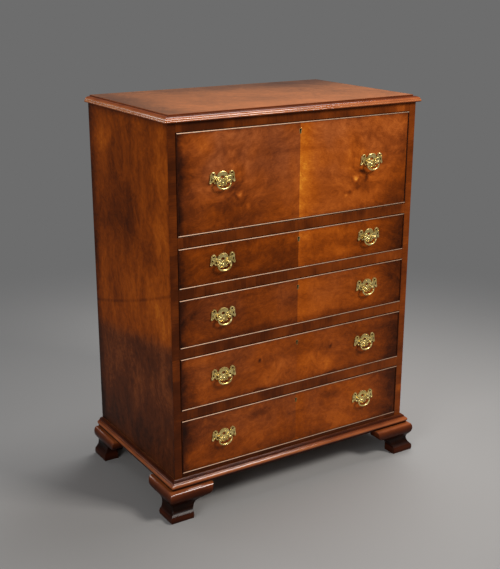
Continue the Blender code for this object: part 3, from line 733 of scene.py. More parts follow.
class Shading(Nodes):
    """One material. Its patterns read the place on the object, also as x, y and z."""

    def __init__(self, name, roughness, metallic=0.0, coat=0.0, coat_roughness=0.2, specular=0.15):
        self.material = bpy.data.materials.new(name)
        self.material.use_nodes = True
        super().__init__(self.material.node_tree)
        self.shader = self.tree.nodes["Principled BSDF"]
        constants = {
            "Roughness": roughness,
            "Metallic": metallic,
            "Coat Weight": coat,
            "Coat Roughness": coat_roughness,
            "Specular IOR Level": specular,
        }
        for key, value in constants.items():
            self.shader.inputs[key].default_value = value
        self.place = self.add("ShaderNodeTexCoord").outputs["Object"]
        self.x, self.y, self.z = self.add("ShaderNodeSeparateXYZ", {0: self.place}).outputs

    def feed(self, socket, value):
        self.link(value, self.shader, socket)

    def vector_math(self, operation, a, b):
        node = self.add("ShaderNodeVectorMath", {0: a, 1: b}, operation=operation)
        return node.outputs["Value" if operation in ("DOT_PRODUCT", "LENGTH") else "Vector"]

    def stretched(self, x, y, z, vector=None):
        return self.vector_math("MULTIPLY", self.place if vector is None else vector, (x, y, z))

    def noise(self, vector, scale, detail=2.0, roughness=0.5, distortion=0.0):
        feeds = {"Vector": vector, "Scale": scale, "Detail": detail, "Roughness": roughness}
        feeds["Distortion"] = distortion
        return self.add("ShaderNodeTexNoise", feeds).outputs[0]

    def warped(self, vector, scale, strength):
        """The place moved about by a soft cloud, so that lines wander."""
        cloud = self.add("ShaderNodeTexNoise", {"Vector": vector, "Scale": scale, "Detail": 3.0}).outputs[1]
        centred = self.vector_math("SUBTRACT", cloud, (0.5, 0.5, 0.5))
        return self.vector_math("ADD", vector, self.vector_math("MULTIPLY", centred, (strength,) * 3))

    def turned(self, vector, axis, degrees):
        """The place turned about an axis, so that a grain runs aslant."""
        feeds = {"Vector": vector, "Axis": axis, "Angle": math.radians(degrees)}
        return self.add("ShaderNodeVectorRotate", feeds, rotation_type="AXIS_ANGLE").outputs[0]

    def remap(self, value, low, high, new_low=0.0, new_high=1.0, smooth=True):
        feeds = {"Value": value, "From Min": low, "From Max": high, "To Min": new_low, "To Max": new_high}
        kind = "SMOOTHSTEP" if smooth else "LINEAR"
        return self.add("ShaderNodeMapRange", feeds, interpolation_type=kind).outputs[0]

    def ramp(self, factor, *stops):
        """Colours from low to high: pairs of a place on the ramp and a colour as it is seen, or as
        shaders use it where it has four numbers."""
        stops = [(place, colour if len(colour) == 4 else srgb(*colour)) for place, colour in stops]
        node = self.add("ShaderNodeValToRGB", {"Fac": factor})
        elements = node.color_ramp.elements
        for element, (position, colour) in zip(elements, (stops[0], stops[-1])):
            element.position, element.color = position, colour
        for position, colour in stops[1:-1]:
            elements.new(position).color = colour
        return node.outputs["Color"]

    def mix(self, factor, a, b):
        feeds = {0: factor, 6: a, 7: b}
        return self.add("ShaderNodeMix", feeds, data_type="RGBA").outputs[2]

    def smudge(self, centre, size, place):
        """A soft round patch: one in its middle, nothing far off."""
        away = self.vector_math("SUBTRACT", place, centre)
        scaled = self.vector_math("MULTIPLY", away, tuple(1 / part for part in size))
        square = self.vector_math("DOT_PRODUCT", scaled, scaled)
        return self.math("EXPONENT", self.times(square, -1.0))

    def total(self, *parts):
        """Sum of pairs of a value and its weight."""
        found = None
        for value, weight in parts:
            part = self.times(value, weight)
            found = part if found is None else self.plus(found, part)
        return found

    def bump(self, height, strength, distance):
        feeds = {"Height": height, "Strength": strength, "Distance": distance}
        self.feed("Normal", self.add("ShaderNodeBump", feeds).outputs[0])

    def done(self, colour):
        self.feed("Base Color", colour)
        return self.material


# Walnut from its darkest to its lightest, where the polish is clear and where it turns russet
walnut_stops = (
    (0.0, (34, 12, 3)),
    (0.18, (66, 26, 4)),
    (0.38, (104, 44, 4)),
    (0.55, (138, 62, 6)),
    (0.70, (166, 80, 13)),
    (0.84, (192, 104, 24)),
    (1.0, (226, 148, 44)),
)
russet_stops = (
    (0.0, (38, 18, 10)),
    (0.18, (62, 28, 14)),
    (0.38, (98, 47, 24)),
    (0.55, (134, 69, 34)),
    (0.70, (160, 89, 48)),
    (0.84, (184, 110, 64)),
    (1.0, (214, 146, 92)),
)

# Painted highlights and painted shade on the mouldings, by height: pairs (share of the height, lightness)
top_edge_painted_light = [
    (0.0, 0.20), (0.08, 0.40), (0.17, 0.62), (0.30, 0.74), (0.42, 0.58), (0.55, 0.66), (0.70, 0.40),
    (0.84, 0.34), (1.0, 0.50),
]
base_painted_light = [
    (0.0, 0.05), (0.14, 0.10), (0.24, 0.26), (0.34, 0.50), (0.46, 0.66), (0.58, 0.60), (0.72, 0.48),
    (0.84, 0.30), (0.93, 0.24), (1.0, 0.34),
]
foot_painted_light = [
    (0.0, 0.14), (0.16, 0.22), (0.27, 0.06), (0.48, 0.02), (0.62, 0.10), (0.78, 0.23), (0.90, 0.34),
    (0.96, 0.50), (1.0, 0.56),
]

# Half size of a patch along an axis on which it has no end
endless = 10.0


def leaf_figure(shading, place, grain, weights, axis, slant):
    """Light and dark of one leaf of veneer: soft clouds, long waves, mottle and fine grain.
    Grain is how each axis is squeezed, so that what follows it comes out long, and slant turns it."""
    wandering = shading.warped(place, 6.0, 0.09)
    swirled = shading.warped(wandering, 19.0, 0.022)
    aslant = shading.turned(swirled, axis, slant)
    soft = tuple(0.5 + 0.5 * part for part in grain)
    clouds = shading.noise(shading.stretched(*soft, aslant), 11.0, 3.0, 0.5)
    waves = shading.noise(shading.stretched(*grain, aslant), 46.0, 4.0, 0.5, 0.5)
    mottle = shading.noise(shading.turned(swirled, axis, 35), 90.0, 3.0, 0.6, 0.4)
    fine = tuple(0.4 * part if part < 1 else part for part in grain)
    lines = shading.noise(shading.stretched(*fine, aslant), 520.0, 3.0, 0.6)
    figure = shading.total(*zip((clouds, waves, mottle, lines), weights))
    return shading.less(figure, 0.5 * sum(weights)), swirled, clouds, lines


def rings_about(shading, figure, swirled, clouds, centre, size, strength):
    """Growth rings that close round a knot, fade away from it and come and go on the way round."""
    away = shading.vector_math("SUBTRACT", swirled, centre)
    away = shading.vector_math("MULTIPLY", away, (1 / size,) * 3)
    square = shading.vector_math("DOT_PRODUCT", away, away)
    phase = shading.total((shading.math("SQRT", square), 10.0), (clouds, 9.0))
    fading = shading.math("EXPONENT", shading.times(square, -0.55))
    present = shading.remap(shading.noise(swirled, 30.0, 2.0), 0.42, 0.62)
    rings = shading.times(shading.math("SINE", phase), shading.times(fading, present))
    return shading.plus(figure, shading.times(rings, strength))


def toned(shading, figure, place, patches):
    """Adds soft lighter or darker patches: (centre, size, change)."""
    for centre, size, change in patches:
        patch = shading.smudge(centre, size, place)
        figure = shading.plus(figure, shading.times(patch, change))
    return figure


def shaded(shading, figure, frayed, edges):
    """Darkens towards edges: (axis, where it starts, where it is full, how much)."""
    for axis, start, full, amount in edges:
        place = shading.plus(getattr(shading, axis), frayed)
        shade = shading.remap(place, start, full)
        figure = shading.less(figure, shading.times(shade, amount))
    return figure


def russet_clouds(shading, soft_place, middle, half_height, seam, bloom):
    """How far the polish turns russet: in clouds, away from the seam, most of all high on the left."""
    cloudy = shading.remap(shading.noise(soft_place, 7.0, 2.0), 0.36, 0.58, 0.25, 1.0)
    beside_seam = shading.remap(seam, 0.0, 0.6, bloom, 0.0)
    leftwards = shading.remap(shading.x, -0.05, 0.25, 1.0, 0.4)
    low, high = middle - 0.5 * half_height, middle + 0.4 * half_height
    upwards = shading.remap(shading.z, low, high, 0.35, 1.0)
    for share in (beside_seam, leftwards, upwards):
        cloudy = shading.times(cloudy, share)
    return cloudy


def figured_walnut(
    name, middle, half_height, tone, step=0.0, glow=(0.0, 0.05), knots=(), patches=(),
    ends=(0.0, 0.0), rims=(0.0, 0.0), bloom=0.45,
):
    """Book-matched walnut, one leaf mirrored about the seam at x = 0, its right half lighter, most of all
    beside the seam: partly the leaves' own tone, partly painted sheen.

    Tone is the left half's lightness and step what the right half adds; glow is what the right
    half adds beside the seam, and its width. A knot is (distance from the seam, height above the
    middle, size, rings). A patch is (x, height above the middle, half width, half height,
    change). Ends are how much the left and right ends darken, and rims the foot and the top.
    Bloom is how strongly the polish turns russet."""
    shading = Shading(name, roughness=0.34, coat=0.06, specular=0.08)
    leaf = shading.vector(shading.math("ABSOLUTE", shading.x), 0.0, shading.z)
    weights = (0.54, 0.34, 0.30, 0.26)
    figure, swirled, clouds, lines = leaf_figure(shading, leaf, (0.24, 1.0, 1.0), weights, (0, 1, 0), -14)
    figure = shading.plus(figure, tone)
    for across, rise, size, strength in knots:
        figure = rings_about(shading, figure, swirled, clouds, (across, 0, middle + rise), size, strength)
    soft_place = shading.warped(shading.place, 20.0, 0.02)
    for x, rise, wide, high, change in patches:
        patch = ((x, 0, middle + rise), (wide, endless, high), change)
        figure = toned(shading, figure, soft_place, [patch])
    # The right half's step and the glow beside the seam: partly the leaves' own tone, partly painted sheen
    right_half = shading.math("GREATER_THAN", shading.x, 0.0)
    bright, width = glow
    fade = shading.math("EXPONENT", shading.times(shading.x, -1 / width))
    added = shading.total((fade, bright), (right_half, step))
    figure = shading.plus(figure, shading.times(added, right_half))
    frayed = shading.times(shading.less(clouds, 0.5), 0.03)
    foot, head = middle - half_height, middle + half_height
    edges = [
        ("x", -0.270, -0.345, ends[0]),
        ("x", -0.316, -0.338, 1.1 * ends[0]),
        ("x", 0.215, 0.345, ends[1]),
        ("z", foot + 0.030, foot - 0.004, rims[0]),
        ("z", head - 0.014, head + 0.002, rims[1]),
    ]
    figure = shaded(shading, figure, frayed, edges)
    seam = shading.times(fade, right_half)
    cloudy = russet_clouds(shading, soft_place, middle, half_height, seam, bloom)
    clear, russet = (shading.ramp(figure, *stops) for stops in (walnut_stops, russet_stops))
    shading.bump(lines, 0.05, 0.0005)
    return shading.done(shading.mix(cloudy, clear, russet))


def banded_walnut(name, upright=False, light=0.0):
    """Short pieces of veneer laid across the length, each cut from a lighter or darker leaf."""
    shading = Shading(name, roughness=0.36, coat=0.06, specular=0.08)
    if upright:
        along = shading.plus(shading.z, shading.times(shading.math("SIGN", shading.x), 0.31))
    else:
        storey = shading.math("FLOOR", shading.times(shading.z, 9.0))
        along = shading.plus(shading.x, shading.times(storey, 0.43))
    wander = shading.noise(shading.place, 14.0, 2.0)
    place = shading.plus(along, shading.times(wander, 0.006))
    feeds = {"W": shading.times(place, 7.0), "Randomness": 1.0}
    leaf = shading.add("ShaderNodeTexVoronoi", feeds, voronoi_dimensions="1D").outputs["Color"]
    tone = shading.add("ShaderNodeSeparateXYZ", {0: leaf}).outputs[0]
    across = (0.10, 0.3, 1.0) if upright else (1.0, 0.3, 0.10)
    ticks = shading.noise(shading.stretched(*across), 360.0, 3.0, 0.55)
    drift = shading.noise(shading.place, 16.0, 3.0, 0.55)
    # The x term paints light: the banding turns lighter towards the right
    figure = shading.total((tone, 0.13), (ticks, 0.24), (drift, 0.66), (shading.x, 0.30))
    figure = shading.plus(figure, light - 0.09)
    stops = (
        (0.0, (40, 15, 3)),
        (0.30, (74, 30, 5)),
        (0.60, (120, 54, 10)),
        (1.0, (190, 98, 30)),
    )
    shading.bump(ticks, 0.05, 0.0005)
    return shading.done(shading.ramp(figure, *stops))


def painted_shade_below(shading, frayed, left_side):
    """How much painted shade darkens a side's lower part, most on the left side."""
    slope, start, full = 0.135, 0.446, 0.396
    level = shading.plus(shading.plus(shading.z, shading.times(shading.y, slope)), frayed)
    return shading.times(shading.remap(level, start, full), shading.remap(left_side, 0.0, 1.0, 0.35, 1.0))


def dark_side_line(shading, frayed):
    """A dark line across a side: it rises to the front and sags in its middle."""
    slope, level, sag, width = 0.2976, 0.5135, 8 * mm, 7 * mm
    middle, half_depth = (front_plane + back_plane) / 2, (back_plane - front_plane) / 2
    along = shading.math("DIVIDE", shading.less(shading.y, middle), half_depth)
    bow = shading.times(shading.times(along, along), sag)
    rise = shading.total((shading.z, 1.0), (shading.y, slope))
    away = shading.math("ABSOLUTE", shading.less(shading.less(rise, bow), level))
    away = shading.plus(away, shading.times(frayed, 0.1))
    return shading.remap(away, 0.0, width, 1.0, 0.0)


def side_walnut():
    """Mottled upright veneer: orange above with a smoky middle and a paler band; its lower part darker and
    greyer, which is painted shade.
    """
    shading = Shading("side_walnut", roughness=0.38, coat=0.03, specular=0.03)
    weights = (0.56, 0.38, 0.34, 0.26)
    figure, _, clouds, lines = leaf_figure(shading, shading.place, (1.0, 1.0, 0.35), weights, (1, 0, 0), 6)
    front, back = front_plane, back_plane
    middle = (front + back) / 2
    patches = [
        ((0, middle + 0.02, 0.78), (endless, 0.09, 0.13), -0.14),
        ((0, middle + 0.10, 0.70), (endless, 0.09, 0.07), -0.10),
        ((0, front + 0.02, 0.88), (endless, 0.06, 0.10), 0.10),
        ((0, back - 0.04, 0.91), (endless, 0.09, 0.04), 0.10),
        ((0, front + 0.04, 0.52), (endless, 0.12, 0.07), 0.16),
        ((0, front + 0.03, 0.66), (endless, 0.045, 0.16), 0.09),
        ((0, front + 0.02, 0.46), (endless, 0.05, 0.05), 0.06),
        ((0, back - 0.05, 0.46), (endless, 0.12, 0.05), 0.08),
    ]
    soft_place = shading.warped(shading.place, 20.0, 0.02)
    figure = toned(shading, shading.plus(figure, 0.50), soft_place, patches)
    frayed = shading.times(shading.less(clouds, 0.5), 0.02)
    left_side = shading.remap(shading.x, 0.05, -0.05)
    # The lower part of a side is painted darker and greyer: painted shade
    deep = painted_shade_below(shading, frayed, left_side)
    figure = shading.less(figure, shading.times(deep, 0.15))
    edges = [
        ("y", back - 0.05, back, 0.24),
        ("y", front + 0.012, front, 0.10),
        ("z", carcase_foot + 0.14, carcase_foot, 0.14),
        ("z", carcase_head - 0.02, carcase_head, 0.20),
    ]
    figure = shaded(shading, figure, frayed, edges)
    streak = shading.times(dark_side_line(shading, frayed), left_side)
    figure = shading.less(figure, shading.times(streak, 0.12))
    colour = shading.ramp(figure, *walnut_stops)
    shade_colour = shading.ramp(figure, (0.0, (38, 20, 13)), (0.35, (80, 42, 24)), (1.0, (168, 100, 58)))
    shading.bump(lines, 0.06, 0.0005)
    return shading.done(shading.mix(shading.times(deep, 0.6), colour, shade_colour))


def top_walnut():
    """Mottled veneer, warmest and lightest at the front, darker towards the back and the left end."""
    shading = Shading("top_walnut", roughness=0.36, coat=0.08, coat_roughness=0.25, specular=0.10)
    weights = (0.36, 0.26, 0.34, 0.20)
    figure, _, _, lines = leaf_figure(shading, shading.place, (0.5, 1.0, 1.0), weights, (0, 0, 1), 40)
    patches = [
        ((-0.02, front_plane + 0.04, 1.0), (0.17, 0.07, endless), 0.16),
        ((-0.27, front_plane + 0.09, 1.0), (0.07, 0.12, endless), 0.10),
        ((0.28, back_plane - 0.06, 1.0), (0.16, 0.14, endless), -0.20),
        ((0.15, back_plane - 0.02, 1.0), (0.40, 0.08, endless), -0.30),
        ((-0.36, 0.04, 1.0), (0.08, 0.30, endless), -0.30),
    ]
    soft_place = shading.warped(shading.place, 18.0, 0.03)
    figure = toned(shading, shading.plus(figure, 0.50), soft_place, patches)
    stops = (
        (0.0, (70, 42, 28)),
        (0.30, (110, 68, 42)),
        (0.50, (142, 86, 50)),
        (0.70, (168, 100, 57)),
        (1.0, (212, 132, 70)),
    )
    shading.bump(lines, 0.05, 0.0004)
    return shading.done(shading.ramp(figure, *stops))


def moulding_walnut(name, foot, head, painted_light, coat=0.6, side_painted_light=0.0):
    """Straight grain that runs with the moulding, with painted highlights on its proud members and
    painted shade in its hollows, given by height as pairs (share of the height from foot to head,
    lightness). Along the sides it is painted lighter by the amount given for them, and its polish is duller
    towards the back."""
    shading = Shading(name, roughness=0.30, coat_roughness=0.10, specular=0.04)
    grain = shading.noise(shading.stretched(0.015, 0.015, 1.0), 520.0, 4.0, 0.6)
    patches = shading.noise(shading.stretched(1.0, 1.0, 2.0), 16.0, 3.0, 0.55)
    # The lightness by height paints highlights and shade onto the moulding
    rise = shading.remap(shading.z, foot, head, smooth=False)
    level = shading.ramp(rise, *((share, (light, light, light, 1.0)) for share, light in painted_light))
    # Along the sides the moulding is painted lighter: painted light
    mitre = half_width + front_plane
    outer = shading.plus(shading.math("ABSOLUTE", shading.x), shading.y)
    beside = shading.remap(outer, mitre - 0.5 * mm, mitre + 0.5 * mm)
    figure = shading.total((grain, 0.14), (patches, 0.26), (level, 1.0), (beside, side_painted_light))
    figure = shading.less(figure, 0.20)
    dull = shading.remap(shading.y, 0.0, front_plane, 0.30, 1.0)
    dull = shading.math("MAXIMUM", dull, shading.less(1.0, beside))
    polish = shading.remap(level, 0.28, 0.62, 0.06, coat)
    shading.feed("Coat Weight", shading.times(polish, dull))
    stops = (
        (0.0, (18, 8, 5)),
        (0.25, (62, 26, 12)),
        (0.45, (104, 48, 20)),
        (0.65, (156, 84, 42)),
        (0.85, (206, 138, 92)),
        (1.0, (232, 176, 132)),
    )
    shading.bump(grain, 0.02, 0.0004)
    return shading.done(shading.ramp(figure, *stops))


def bead_walnut(name, level):
    """Cockbeads: dense wood, with a painted highlight on the face of the lying beads, most on the left."""
    shading = Shading(name, roughness=0.40, specular=0.05)
    grain = shading.noise(shading.place, 120.0, 3.0, 0.6)
    colour = shading.ramp(grain, (0.25, (30, 12, 6)), (0.75, (62, 28, 14)))
    # A painted highlight on the up- and down-facing faces of the beads, where they stand proud
    normal = shading.add("ShaderNodeNewGeometry").outputs["True Normal"]
    upright = shading.math("ABSOLUTE", shading.add("ShaderNodeSeparateXYZ", {0: normal}).outputs[2])
    lying = shading.remap(upright, 0.02, 0.14)
    proud = shading.remap(shading.y, level - 1.50 * mm, level - 1.86 * mm)
    rightwards = shading.remap(shading.x, -0.34, 0.30, 1.0, 0.45)
    painted_highlight = shading.times(shading.times(lying, proud), rightwards)
    pale = shading.ramp(grain, (0.2, (236, 172, 136)), (0.8, (255, 226, 194)))
    return shading.done(shading.mix(painted_highlight, colour, pale))


def plain_wood(name, along, dark, pale, roughness=0.6, coat=0.0):
    """Straight-grained timber. Along is the axis that the grain follows."""
    shading = Shading(name, roughness=roughness, coat=coat)
    squeeze = {"x": (0.06, 1.0, 1.0), "y": (1.0, 0.06, 1.0), "z": (1.0, 1.0, 0.06)}[along]
    bent = shading.warped(shading.stretched(*squeeze), 6.0, 0.02)
    rings = shading.noise(bent, 70.0, 3.0, 0.55)
    pores = shading.noise(shading.stretched(*squeeze), 560.0, 4.0, 0.65)
    figure = shading.total((rings, 0.6), (pores, 0.4))
    shading.bump(pores, 0.12, 0.0005)
    return shading.done(shading.ramp(figure, (0.30, dark), (0.70, pale)))


def polished_brass():
    """Old lacquered brass, darker in its recesses: partly polish and tarnish gathered there, partly painted
    shade.
    """
    roughness = 0.24
    shading = Shading("polished_brass", roughness=roughness, metallic=0.84)
    cloud = shading.noise(shading.place, 90.0, 3.0, 0.6)
    colour = shading.ramp(cloud, (0.3, (214, 184, 104)), (0.75, (255, 236, 164)))
    # Darker near close surfaces: tarnish in the hollows and painted shade
    recess = shading.add("ShaderNodeAmbientOcclusion", {"Distance": 0.004}, samples=8).outputs["AO"]
    depth = shading.remap(recess, 0.35, 0.85)
    colour = shading.mix(depth, srgb(40, 30, 4), colour)
    shading.feed("Roughness", shading.remap(cloud, 0.3, 0.7, 0.8 * roughness, 1.3 * roughness))
    return shading.done(colour)


def dull_steel():
    """Blued screws and the works of a lock."""
    shading = Shading("dull_steel", roughness=0.45, metallic=1.0)
    cloud = shading.noise(shading.place, 200.0, 3.0, 0.6)
    return shading.done(shading.ramp(cloud, (0.3, (88, 82, 76)), (0.7, (140, 134, 126))))


def blackened_iron():
    """The inside of a keyhole, black: partly with use, partly painted shade."""
    shading = Shading("blackened_iron", roughness=0.8, specular=0.05)
    cloud = shading.noise(shading.place, 300.0, 2.0)
    return shading.done(shading.ramp(cloud, (0.3, (12, 9, 7)), (0.7, (28, 20, 15))))


def tooled_leather():
    """Fine-grained hide, lighter and darker in soft clouds."""
    shading = Shading("writing_leather", roughness=0.52)
    feeds = {"Vector": shading.place, "Scale": 900.0}
    cells = shading.add("ShaderNodeTexVoronoi", feeds).outputs["Distance"]
    cloud = shading.noise(shading.place, 9.0, 4.0, 0.6)
    colour = shading.ramp(cloud, (0.3, (70, 26, 18)), (0.75, (112, 48, 32)))
    shading.bump(cells, 0.25, 0.0003)
    return shading.done(colour)


def gilding():
    """Gold leaf in the tooled lines of the leather."""
    shading = Shading("gilt_tooling", roughness=0.32, metallic=1.0)
    cloud = shading.noise(shading.place, 260.0, 2.0)
    return shading.done(shading.ramp(cloud, (0.35, (176, 132, 54)), (0.7, (232, 194, 104))))


side_veneer = side_walnut()
top_veneer = top_walnut()
rail_veneer = banded_walnut("cross_banded_rails")
foot_rail_veneer = banded_walnut("cross_banded_foot", light=-0.22)
stile_veneer = banded_walnut("cross_banded_stiles", upright=True)
edge_moulding = moulding_walnut("top_edge_walnut", top_foot, top_head, top_edge_painted_light, side_painted_light=0.10)
base_wood = moulding_walnut("base_walnut", base_foot, base_head, base_painted_light)
foot_wood = moulding_walnut("foot_walnut", 0.0, base_foot, foot_painted_light, coat=1.0)
bead_wood = bead_walnut("cockbead_walnut", front_plane)
small_bead_wood = bead_walnut("small_cockbead_walnut", nest_face + bead_proud)
oak_along = plain_wood("oak_lengthways", "y", (140, 104, 66), (194, 158, 112))
oak_across = plain_wood("oak_crossways", "x", (138, 102, 64), (190, 154, 108))
oak_upright = plain_wood("oak_upright", "z", (118, 84, 54), (170, 132, 90))
core_wood = plain_wood("core_pine", "x", (120, 76, 44), (164, 114, 70))
dust_wood = plain_wood("dust_board_pine", "x", (112, 76, 48), (158, 116, 76))
waxed = {"roughness": 0.4, "coat": 0.3}
inner_walnut = plain_wood("inner_walnut", "x", (104, 52, 24), (158, 92, 44), **waxed)
inner_upright = plain_wood("inner_walnut_upright", "y", (98, 48, 22), (150, 86, 42), **waxed)
brass = polished_brass()
steel = dull_steel()
keyhole_shade_liner = blackened_iron()
hide = tooled_leather()
gilt = gilding()


def fitting(name, mesh, body, *nodes):
    """A piece of polished brass."""
    return piece(name, mesh, brass, body, "polished_brass", *nodes)


# Carcase, whose cross-banded pieces share a body
banded = ("carcase", "cross_banded_walnut")


def build_sides():
    """Each side is a veneered board with a cross-banded strip down its front edge."""
    face = front_plane + banding_thickness
    for name, _ in sides:
        node = f"side_{name}"
        low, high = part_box(node)
        board(f"{node}_board", (low.x, face, low.z), high, side_veneer, "carcase", "side_walnut", node)
        strip_end = (high.x, face, high.z)
        board(f"{node}_banding", low, strip_end, stile_veneer, *banded, edge=0.4 * mm)


def banded_board(names, low, high, veneer, wood, node):
    """A strip of cross-banding and the board that it is glued to, which is the named node."""
    banding, core = names
    face = front_plane + banding_thickness
    board(banding, low, (high.x, face, high.z), veneer, *banded, edge=0.3 * mm)
    board(core, (low.x, face, low.z), high, wood, *banded, node)


def build_rails():
    """Cross-banded rails round the fronts, with a dust board behind each that lies between two."""
    rail_end = front_plane + rail_depth
    for node in ("divider_1", "divider_2", "divider_3", "divider_4"):
        low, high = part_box(node)
        rail_high = Vector((high.x, rail_end, high.z))
        banded_board((f"{node}_banding", f"{node}_rail"), low, rail_high, rail_veneer, core_wood, node)
        dust_low = (low.x, rail_end + seat_gap, high.z - dust_thickness)
        board(f"{node}_dust_board", dust_low, high, dust_wood, *banded)
    names = ("top_rail_banding", "top_rail_core")
    banded_board(names, *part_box("top_rail"), rail_veneer, core_wood, "top_rail")
    names = ("foot_banding", "carcase_bottom")
    banded_board(names, *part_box("bottom_board"), foot_rail_veneer, dust_wood, "bottom_board")


def build_back():
    """Upright boards side by side, each with two lines of screws."""
    low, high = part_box("back_panel")
    step = (high.x - low.x) / back_board_count
    plank = box_mesh("back_plank", low, (low.x + step - back_board_gap, high.y, high.z))
    planks = row("back_planks", plank, back_board_count, (step, 0, 0), oak_upright)
    ease(piece("back_planks", planks, None, "carcase", "oak_lining", "back_panel"), 0.8 * mm)
    levels = (low.z + 5 * mm, (low.z + high.z) / 2, high.z - 11 * mm)
    across = [low.x + step * (index + share) for index in range(back_board_count) for share in (0.2, 0.8)]
    places = [(x, high.y, z) for x in across for z in levels]
    screws("back_screws", places, (0, 1, 0), 3.2 * mm, "carcase", "oak_lining")


def build_top():
    """A veneered board with a moulding mitred round its front and sides."""
    low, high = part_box("top_board")
    inset = top_overhang + top_moulding_depth
    start, end = (low.x + inset, low.y + inset, low.z), (high.x - inset, high.y, high.z)
    board("top_panel", start, end, top_veneer, "carcase", "top_walnut", "top_board", edge=0.3 * mm)
    # The section in millimetres, out from the carcase and up from the board's underside
    nose = flowing([(7.4, 0.0), (9.3, 0.7), (10.0, 2.0), (9.9, 3.4), (9.3, 4.6), (8.6, 5.0)], 4)
    thumb = arc((-4.6, 5.2), (13.4, 9.2), 0, 90, 16)
    quirk = [(-4.75, 14.0), (-5.4, 14.0), (-5.55, 14.6), (-5.55, 17.2), (-6.0, 17.7)]
    inner = 0.1 - top_moulding_depth / mm
    points = [(6.6, 0.0), *nose, *thumb, *quirk, (inner, 17.7), (inner, 0.0)]
    profile = [(x * mm, z * mm) for x, z in points]
    mesh = moulded("top_edge", three_sided(low.z), profile, edge_moulding)
    piece("top_edge_moulding", mesh, None, "carcase", "moulded_walnut")


def build_base():
    """The base moulding, mitred round three sides, on a plain frame."""
    low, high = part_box("base_moulding")
    # The section in millimetres, out from the carcase and down from the top of the moulding
    nose = arc((11.6, -13.4), (4.4, 5.6), -62, 62, 12)
    cove = arc((13.3, -3.2), (4.4, 4.6), 262, 188, 8)
    bead = arc((7.2, -2.7), 1.5, -70, 90, 8)
    points = [(0.0, -23.6), (11.2, -23.6), (13.0, -22.9), (13.0, -20.2), *nose, (13.2, -7.9), *cove]
    points += [(8.3, -4.2), *bead, (4.0, -1.0), (3.2, 0.0), (0.0, 0.0)]
    profile = [(x * mm, z * mm) for x, z in points]
    mesh = moulded("base_edge", three_sided(high.z), profile, base_wood)
    piece("base_edge_moulding", mesh, None, "carcase", "moulded_walnut", "base_moulding")
    outer, front = half_width - seat_gap, front_plane + seat_gap
    rear = front + base_frame_width
    kind = (core_wood, "carcase", "moulded_walnut")
    board("base_frame_front", (-outer, front, low.z), (outer, rear, high.z), *kind)
    for name, sign in sides:
        start, end = sorted((sign * outer, sign * (outer - base_frame_width)))
        board(f"base_frame_{name}", (start, rear, low.z), (end, back_plane, high.z), *kind)


def front_bracket(out, leg):
    """Plan of a right front foot at one height: how far it stands out and how long its legs are."""
    corner_x, corner_y = half_width + out, front_plane - out
    inner_x, inner_y = half_width - foot_inner_inset, front_plane + foot_inner_inset
    return [
        (corner_x, corner_y + foot_edge),
        (corner_x - foot_edge, corner_y),
        (corner_x - leg + foot_edge, corner_y),
        (corner_x - leg, corner_y + foot_edge),
        (corner_x - leg, inner_y),
        (inner_x, inner_y),
        (inner_x, corner_y + leg),
        (corner_x - foot_edge, corner_y + leg),
        (corner_x, corner_y + leg - foot_edge),
    ]


def back_bracket(out, leg):
    """Plan of a right back foot, whose board along the back is plain."""
    corner_x, inner_x = half_width + out, half_width - foot_inner_inset
    board_x = half_width - foot_back_leg * leg / foot_leg
    board_y = back_plane - foot_back_board
    return [
        (corner_x, back_plane),
        (board_x, back_plane),
        (board_x, board_y),
        (inner_x, board_y),
        (inner_x, back_plane - leg),
        (corner_x - foot_edge, back_plane - leg),
        (corner_x, back_plane - leg + foot_edge),
    ]


def build_feet():
    """Bracket feet: the front ones show the ogee on two faces, the back ones on the side."""
    shares = pad_shares + flowing(ogee_shares, 4)
    for name, sign in sides:
        for place, bracket in (("front", front_bracket), ("back", back_bracket)):
            node = f"{place}_foot_{name}"
            low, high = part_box(node)
            sections = []
            for rise, out, leg in shares:
                z = low.z + (high.z - low.z) * rise
                plan = bracket(foot_projection * out, foot_leg * leg)
                sections.append([(sign * x, y, z) for x, y in plan])
            mesh = loft_mesh(node, sections, crease=28)
            piece(f"{node}_bracket", mesh, foot_wood, "carcase", "moulded_walnut", node)


build_sides()
build_rails()
build_back()
build_top()
build_base()
build_feet()


# Fronts: core, figured veneer, cockbeads, keyhole and escutcheon, whose rim shows more or less wide
thread_width = {front: 0.4 * mm for front in long_drawers} | {"fall": 0.9 * mm, "drawer_1": 0.8 * mm}


def keyhole_outline(x, z, grown=0.0):
    """A round hole over a slot, as points (x, z)."""
    radius = keyhole_radius + grown
    half_slot = keyhole_slot_width / 2 + grown
    turn = math.degrees(math.asin(half_slot / radius))
    loop = arc((x, z), radius, -90 + turn, 270 - turn, 20)
    foot = z - keyhole_slot - grown
    return [*loop, (x - half_slot, foot), (x + half_slot, foot)]


def keyhole_tool(x, z, near, far):
    return prism_mesh("keyhole", [keyhole_outline(x, z)], elevation, -far, -near)


def core_mesh(name, low, high):
    """A front's core: full size behind, stepped back round its face for the cockbeads."""
    bm = opened(box_mesh(name, (low.x, front_plane + bead_depth, low.z), high))
    face = min(bm.faces, key=lambda found: found.calc_center_median().y)
    bmesh.ops.inset_individual(bm, faces=[face], thickness=bead_width + bead_shadow, depth=0.0)
    grown = bmesh.ops.extrude_discrete_faces(bm, faces=[face])["faces"][0]
    for vert in grown.verts:
        vert.co.y = front_plane + banding_thickness
    return mesh_from(name, bm, crease=0)


def cockbead_mesh(name, low, high):
    """A slip of wood let in round the edge, its face rounded and standing proud."""
    radius = bead_width / 2
    rounding = arc((radius, bead_proud - radius), radius, 180, 0, 8)
    profile = [(0.0, -bead_depth), *rounding, (bead_width, -bead_depth)]
    return moulded(name, round_frame((low.x, low.z), (high.x, high.z), front_plane), profile, bead_wood)


